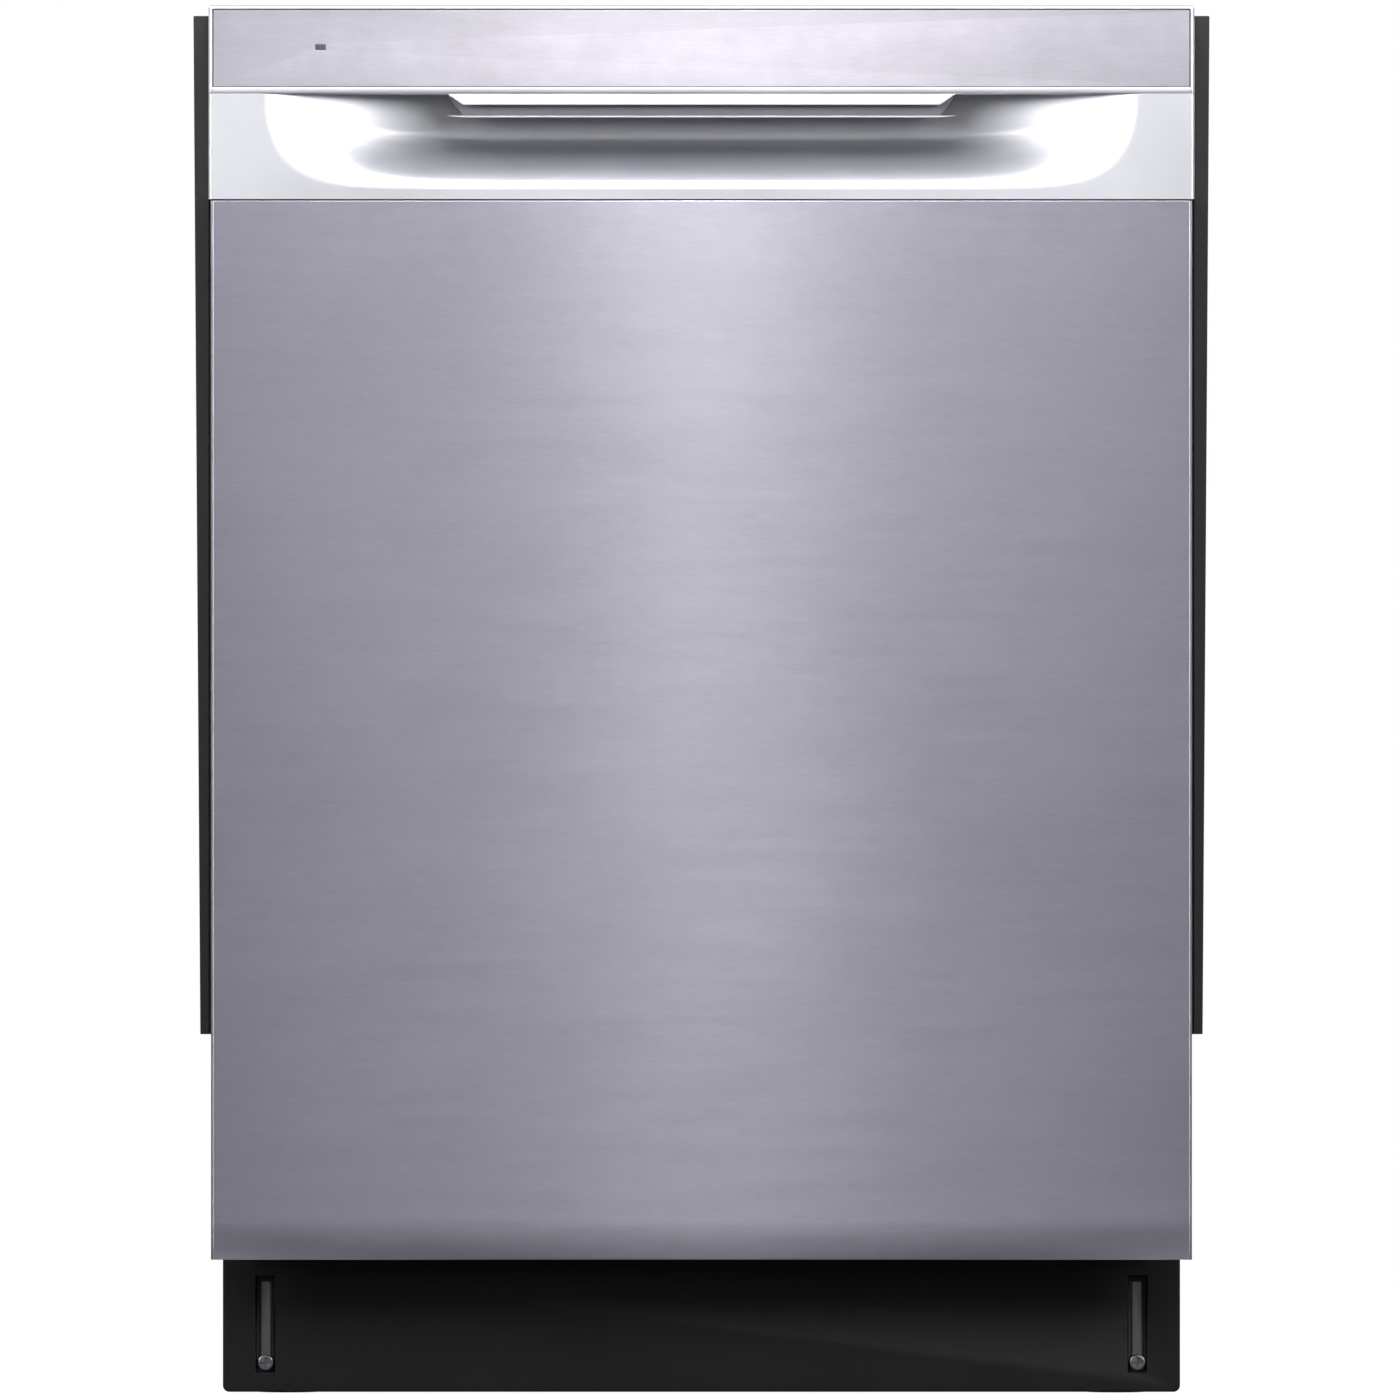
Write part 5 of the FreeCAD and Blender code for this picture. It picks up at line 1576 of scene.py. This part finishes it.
for side, y, corner in (
    (-1, wheel_rows[0], "front_left"),
    (1, wheel_rows[0], "front_right"),
    (-1, wheel_rows[1], "rear_left"),
    (1, wheel_rows[1], "rear_right"),
):
    spokes = []
    for i in range(6):
        turn = math.pi / 3 * i
        spoke, spoke_faces = bar_shape(-0.8, 0.8, 5.8, 12.8, 1.6, 9.4)
        spoke = [
            (
                side * (wheel_inner + sz),
                y + sx * math.cos(turn) - sy * math.sin(turn),
                wheel_z + sx * math.sin(turn) + sy * math.cos(turn),
            )
            for sx, sy, sz in spoke
        ]
        spokes.append((spoke, spoke_faces))
    wheel = mesh_piece("rack_roller_" + corner, *together(wheel_shape(side, y), *spokes), wheel_plastic)
    on_body(wheel, corner + "_wheel", "wheel_plastic", "rack_wheel_" + corner)

# ---- Cutlery basket ----
# Open moulded basket of four cells, its walls a lattice of thin bars, with a carrying
# handle over the middle.

basket_plastic = moulded(
    "basket_plastic", (0.22, 0.23, 0.25),
    grain=900.0, mottle=0.1, roughness=0.45, wear=0.9, relief=0.00003,
)
basket_low, basket_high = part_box("silverware_basket")
bx0, bx1 = basket_low.x * 1000, basket_high.x * 1000
by0, by1 = basket_low.y * 1000, basket_high.y * 1000
bz0 = basket_low.z * 1000
bz1 = basket_high.z * 1000 - 34.0
lattice = []
for i in range(25):
    y = by0 + 3.0 + (by1 - by0 - 6.0) * i / 24
    for x in (bx0 + 1.0, bx1 - 1.0):
        lattice.append([(x, y, bz0 + 2.0), (x, y, bz1 - 4.0)])
for i in range(1, 8):
    x = bx0 + 3.0 + (bx1 - bx0 - 6.0) * i / 8
    for k in range(5):
        y = by0 + 1.0 + (by1 - by0 - 2.0) * k / 4
        lattice.append([(x, y, bz0 + 2.0), (x, y, bz1 - 4.0)])
for level in (26.0, 52.0, 78.0):
    ring = flat_ring((bx1 - bx0) / 2 - 1.0, by0 + 1.0, by1 - 1.0, bz0 + level)
    lattice.append([(x + (bx0 + bx1) / 2, y, z) for x, y, z in ring])
basket_bars = wires("cutlery_basket_bars", lattice, 0.95, 1.0, 6, basket_plastic)
on_body(basket_bars, "cutlery_basket", "basket_plastic", "silverware_basket")
band = []
for z0, z1, t in ((bz0, bz0 + 5.0, 2.0), (bz1 - 6.0, bz1, 2.2)):
    band.append(bar_shape(bx0, bx0 + t, by0, by1, z0, z1))
    band.append(bar_shape(bx1 - t, bx1, by0, by1, z0, z1))
    for k in range(5):
        y = by0 + (by1 - by0 - 2.0) * k / 4
        band.append(bar_shape(bx0 + t, bx1 - t, y, y + 2.0, z0, z1))
band.append(bar_shape(bx0 + 0.4, bx1 - 0.4, by0 + 0.4, by1 - 0.4, bz0, bz0 + 1.6))
middle = (by0 + by1) / 2
for x in (bx0, bx1 - 2.4):
    band.append(bar_shape(x, x + 2.4, middle - 12, middle + 12, bz1 - 6.0, bz1 + 33.8))
band.append(bar_shape(bx0, bx1, middle - 12, middle + 12, bz1 + 29.6, bz1 + 33.9))
basket_frame = mesh_piece("cutlery_basket_frame", *together(*band), basket_plastic)
soften(basket_frame, 0.5)
on_body(basket_frame, "cutlery_basket", "basket_plastic")

# ---- Upper rack ----
# Same coated wire, shallower. Steel channels along its sides run on nylon glides, and
# a flat water channel under its floor feeds the middle spray arm.

upper_floor = 472.3
upper_top = 602.3
upper_half = 253.0
upper_front = rack_front + 4.0
upper_wires = wires(
    "upper_rack_wires",
    rack_runs(upper_half, upper_front, rack_back, upper_floor, upper_top, 15, 11),
    1.9, 14.0, 8, rack_vinyl,
)
on_body(upper_wires, "upper_basket", "rack_vinyl", "upper_rack")
upper_rings = wires(
    "upper_rack_rings",
    [
        flat_ring(upper_half, upper_front, rack_back, upper_top - 3.0),
        flat_ring(upper_half, upper_front, rack_back, (upper_floor + upper_top) / 2),
    ],
    2.0, 14.0, 8, rack_vinyl,
)
on_body(upper_rings, "upper_basket", "rack_vinyl")
cup_runs = []
for x in (-60.0, 60.0):
    cup_runs.append([(x, upper_front + 26.0, upper_floor + 5.6), (x, rack_back - 26.0, upper_floor + 5.6)])
    for y in evenly(upper_front + 60.0, rack_back - 60.0, 8):
        cup_runs.append(
            [(x, y, upper_floor + 3.8), (x, y, upper_floor + 42.0), (x + 8.0, y, upper_floor + 58.0)]
        )
upper_tines = wires("upper_rack_tines", cup_runs, 1.6, 6.0, 8, rack_vinyl)
on_body(upper_tines, "upper_basket", "rack_vinyl")


def side_channel(side):
    # a C-shaped channel, open towards the wall of the tub
    inner = side * (upper_half + 2.1)
    outer = side * (upper_half + 14.0)
    wall = sorted((inner, inner + side * 2))
    flange = sorted((inner, outer))
    y0 = rack_front + 12.0
    y1 = rack_back
    z = upper_floor + 62.0
    return together(
        bar_shape(*wall, y0, y1, z - 12.5, z + 12.5),
        bar_shape(*flange, y0, y1, z - 12.5, z - 10.6),
        bar_shape(*flange, y0, y1, z + 10.6, z + 12.5),
    )


channels = mesh_piece("upper_rack_channels", *together(side_channel(-1), side_channel(1)), tub_steel)
soften(channels, 0.5)
on_body(channels, "upper_basket", "rack_vinyl")
shelf_x = -237.0
shelf_z = upper_floor + 96.0
shelf_middle = -90.0
lug_inner = -upper_half + 6.1
lug_outer = shelf_x + 6.0
lug_hole = 2.7
lug_parts = []
for end in (-1, 1):
    y0 = shelf_middle + end * 97.0 - 2.0
    y1 = y0 + 4.0
    for z0, z1 in ((shelf_z - 6.0, shelf_z - lug_hole), (shelf_z + lug_hole, shelf_z + 6.0)):
        lug_parts.append(bar_shape(lug_inner, lug_outer, y0, y1, z0, z1))
    for x0, x1 in ((lug_inner, shelf_x - lug_hole), (shelf_x + lug_hole, lug_outer)):
        lug_parts.append(bar_shape(x0, x1, y0, y1, shelf_z - 2.8, shelf_z + 2.8))
lugs = mesh_piece("cup_shelf_lugs", *together(*lug_parts), basket_plastic)
soften(lugs, 0.3)
on_body(lugs, "upper_basket", "basket_plastic")
eased_copy("cup_shelf", "cup_shelf_tray", 0.7, basket_plastic, "shelf", "basket_plastic")
eased_copy("rack_manifold", "rack_water_channel", 1.6, arm_plastic, "upper_basket", "arm_plastic")
glide_nylon = moulded(
    "glide_nylon", (0.66, 0.66, 0.64),
    grain=900.0, mottle=0.08, roughness=0.38, wear=0.3, relief=0.00003,
)
eased_copy("rack_glides", "wall_glides", 0.9, glide_nylon, "chassis", "glide_nylon")

# ---- Floor, light and camera ----
# A plain pale floor, soft lights above and in front of the door with a pair at the
# sides and a pair at the rear, and a long lens level with the middle of the machine.
# Lengths in this section are in metres, except the camera's sensor in millimetres.

floor_mesh = bpy.data.meshes.new("studio_floor")
floor_corners = [(-1.6, -1.9, 0.0), (1.6, -1.9, 0.0), (1.6, 1.5, 0.0), (-1.6, 1.5, 0.0)]
floor_mesh.from_pydata(floor_corners, [], [(0, 1, 2, 3)])
studio_floor = bpy.data.objects.new("studio_floor", floor_mesh)
scene.collection.objects.link(studio_floor)
# Seen directly the floor is pale. What the steel mirrors is the darker coat.
floor_paint = bpy.data.materials.new("floor_paint")
floor_paint.use_nodes = True
paint_tree = floor_paint.node_tree
paint_tree.nodes.clear()
paint_end = paint_tree.nodes.new("ShaderNodeOutputMaterial")
seen_or_not = paint_tree.nodes.new("ShaderNodeMixShader")
pale_mix = paint_tree.nodes.new("ShaderNodeMixShader")
pale_mix.inputs[0].default_value = 0.90
pale_coat = paint_tree.nodes.new("ShaderNodeBsdfDiffuse")
pale_coat.inputs["Color"].default_value = (0.9, 0.9, 0.9, 1.0)
pale_glow = paint_tree.nodes.new("ShaderNodeEmission")
pale_glow.inputs["Color"].default_value = (1.0, 1.0, 1.0, 1.0)
pale_glow.inputs["Strength"].default_value = 1.075
dark_coat = paint_tree.nodes.new("ShaderNodeBsdfDiffuse")
dark_coat.inputs["Color"].default_value = (0.06, 0.06, 0.065, 1.0)
floor_path = paint_tree.nodes.new("ShaderNodeLightPath")
join_sockets(
    paint_tree,
    (pale_coat.outputs[0], pale_mix.inputs[1]),
    (pale_glow.outputs[0], pale_mix.inputs[2]),
    (dark_coat.outputs[0], seen_or_not.inputs[1]),
    (pale_mix.outputs[0], seen_or_not.inputs[2]),
    (floor_path.outputs["Is Camera Ray"], seen_or_not.inputs[0]),
    (seen_or_not.outputs[0], paint_end.inputs["Surface"]),
)
floor_mesh.materials.append(floor_paint)

# The room is treated in the same way: white behind the machine, dim in its reflections.
room = bpy.data.worlds.new("studio_room")
scene.world = room
room.use_nodes = True
room_tree = room.node_tree
room_tree.nodes.clear()
room_end = room_tree.nodes.new("ShaderNodeOutputWorld")
room_mix = room_tree.nodes.new("ShaderNodeMixShader")
room_path = room_tree.nodes.new("ShaderNodeLightPath")
room_white = room_tree.nodes.new("ShaderNodeBackground")
room_white.inputs["Color"].default_value = (1.0, 1.0, 1.0, 1.0)
room_white.inputs["Strength"].default_value = 1.0
room_dim = room_tree.nodes.new("ShaderNodeBackground")
room_dim.inputs["Color"].default_value = (0.93, 0.94, 1.0, 1.0)
room_dim.inputs["Strength"].default_value = 0.11
join_sockets(
    room_tree,
    (room_dim.outputs[0], room_mix.inputs[1]),
    (room_white.outputs[0], room_mix.inputs[2]),
    (room_path.outputs["Is Camera Ray"], room_mix.inputs[0]),
    (room_mix.outputs[0], room_end.inputs["Surface"]),
)


def soft_light(name, place, target, size_x, size_y, power, colour=(1.0, 1.0, 1.0), spread=180.0):
    # a rectangular panel, its power in watts and its spread in degrees
    lamp = bpy.data.lights.new(name, "AREA")
    lamp.shape = "RECTANGLE"
    lamp.size = size_x
    lamp.size_y = size_y
    lamp.energy = power
    lamp.color = colour
    holder = bpy.data.objects.new(name, lamp)
    scene.collection.objects.link(holder)
    holder.location = place
    holder.rotation_euler = (Vector(target) - Vector(place)).to_track_quat("-Z", "Y").to_euler()
    holder.visible_camera = False
    lamp.spread = math.radians(spread)
    return holder


door_aim = (0.0, -0.31, 0.55)
warm_white = (1.0, 0.975, 0.94)
soft_light("key_light", (0.004, -1.35, 2.05), door_aim, 0.05, 0.5, 6.4, warm_white)
soft_light("broad_key_light", (0.004, -1.35, 2.0), door_aim, 1.15, 0.4, 12.5)
soft_light("wide_light", (0.0, -1.45, 2.1), door_aim, 2.4, 0.5, 10.0)
soft_light("front_light", (0.0, -5.0, 1.2), door_aim, 2.2, 1.6, 4.0)
for side in (-1, 1):
    soft_light(
        "side_light_%d" % side, (side * 1.9, -2.7, 1.6), (0.0, -0.31, 0.85), 1.6, 1.2, 7.6, spread=62.0
    )
    soft_light("rear_light_%d" % side, (side * 1.8, 1.9, 1.7), (0.0, 0.2, 0.4), 1.6, 1.2, 45.0)

sensor_width = 36.0
camera_distance = 16.0
frame_width = 0.8562
lens = bpy.data.cameras.new("front_camera")
lens.sensor_width = sensor_width
lens.lens = sensor_width * camera_distance / frame_width
lens.clip_end = 100.0
front_camera = bpy.data.objects.new("front_camera", lens)
scene.collection.objects.link(front_camera)
front_camera.location = (-0.0009, -0.31 - camera_distance, 0.4263)
front_camera.rotation_euler = (math.radians(90.0), 0.0, 0.0)
scene.camera = front_camera
scene.view_settings.view_transform = "Standard"
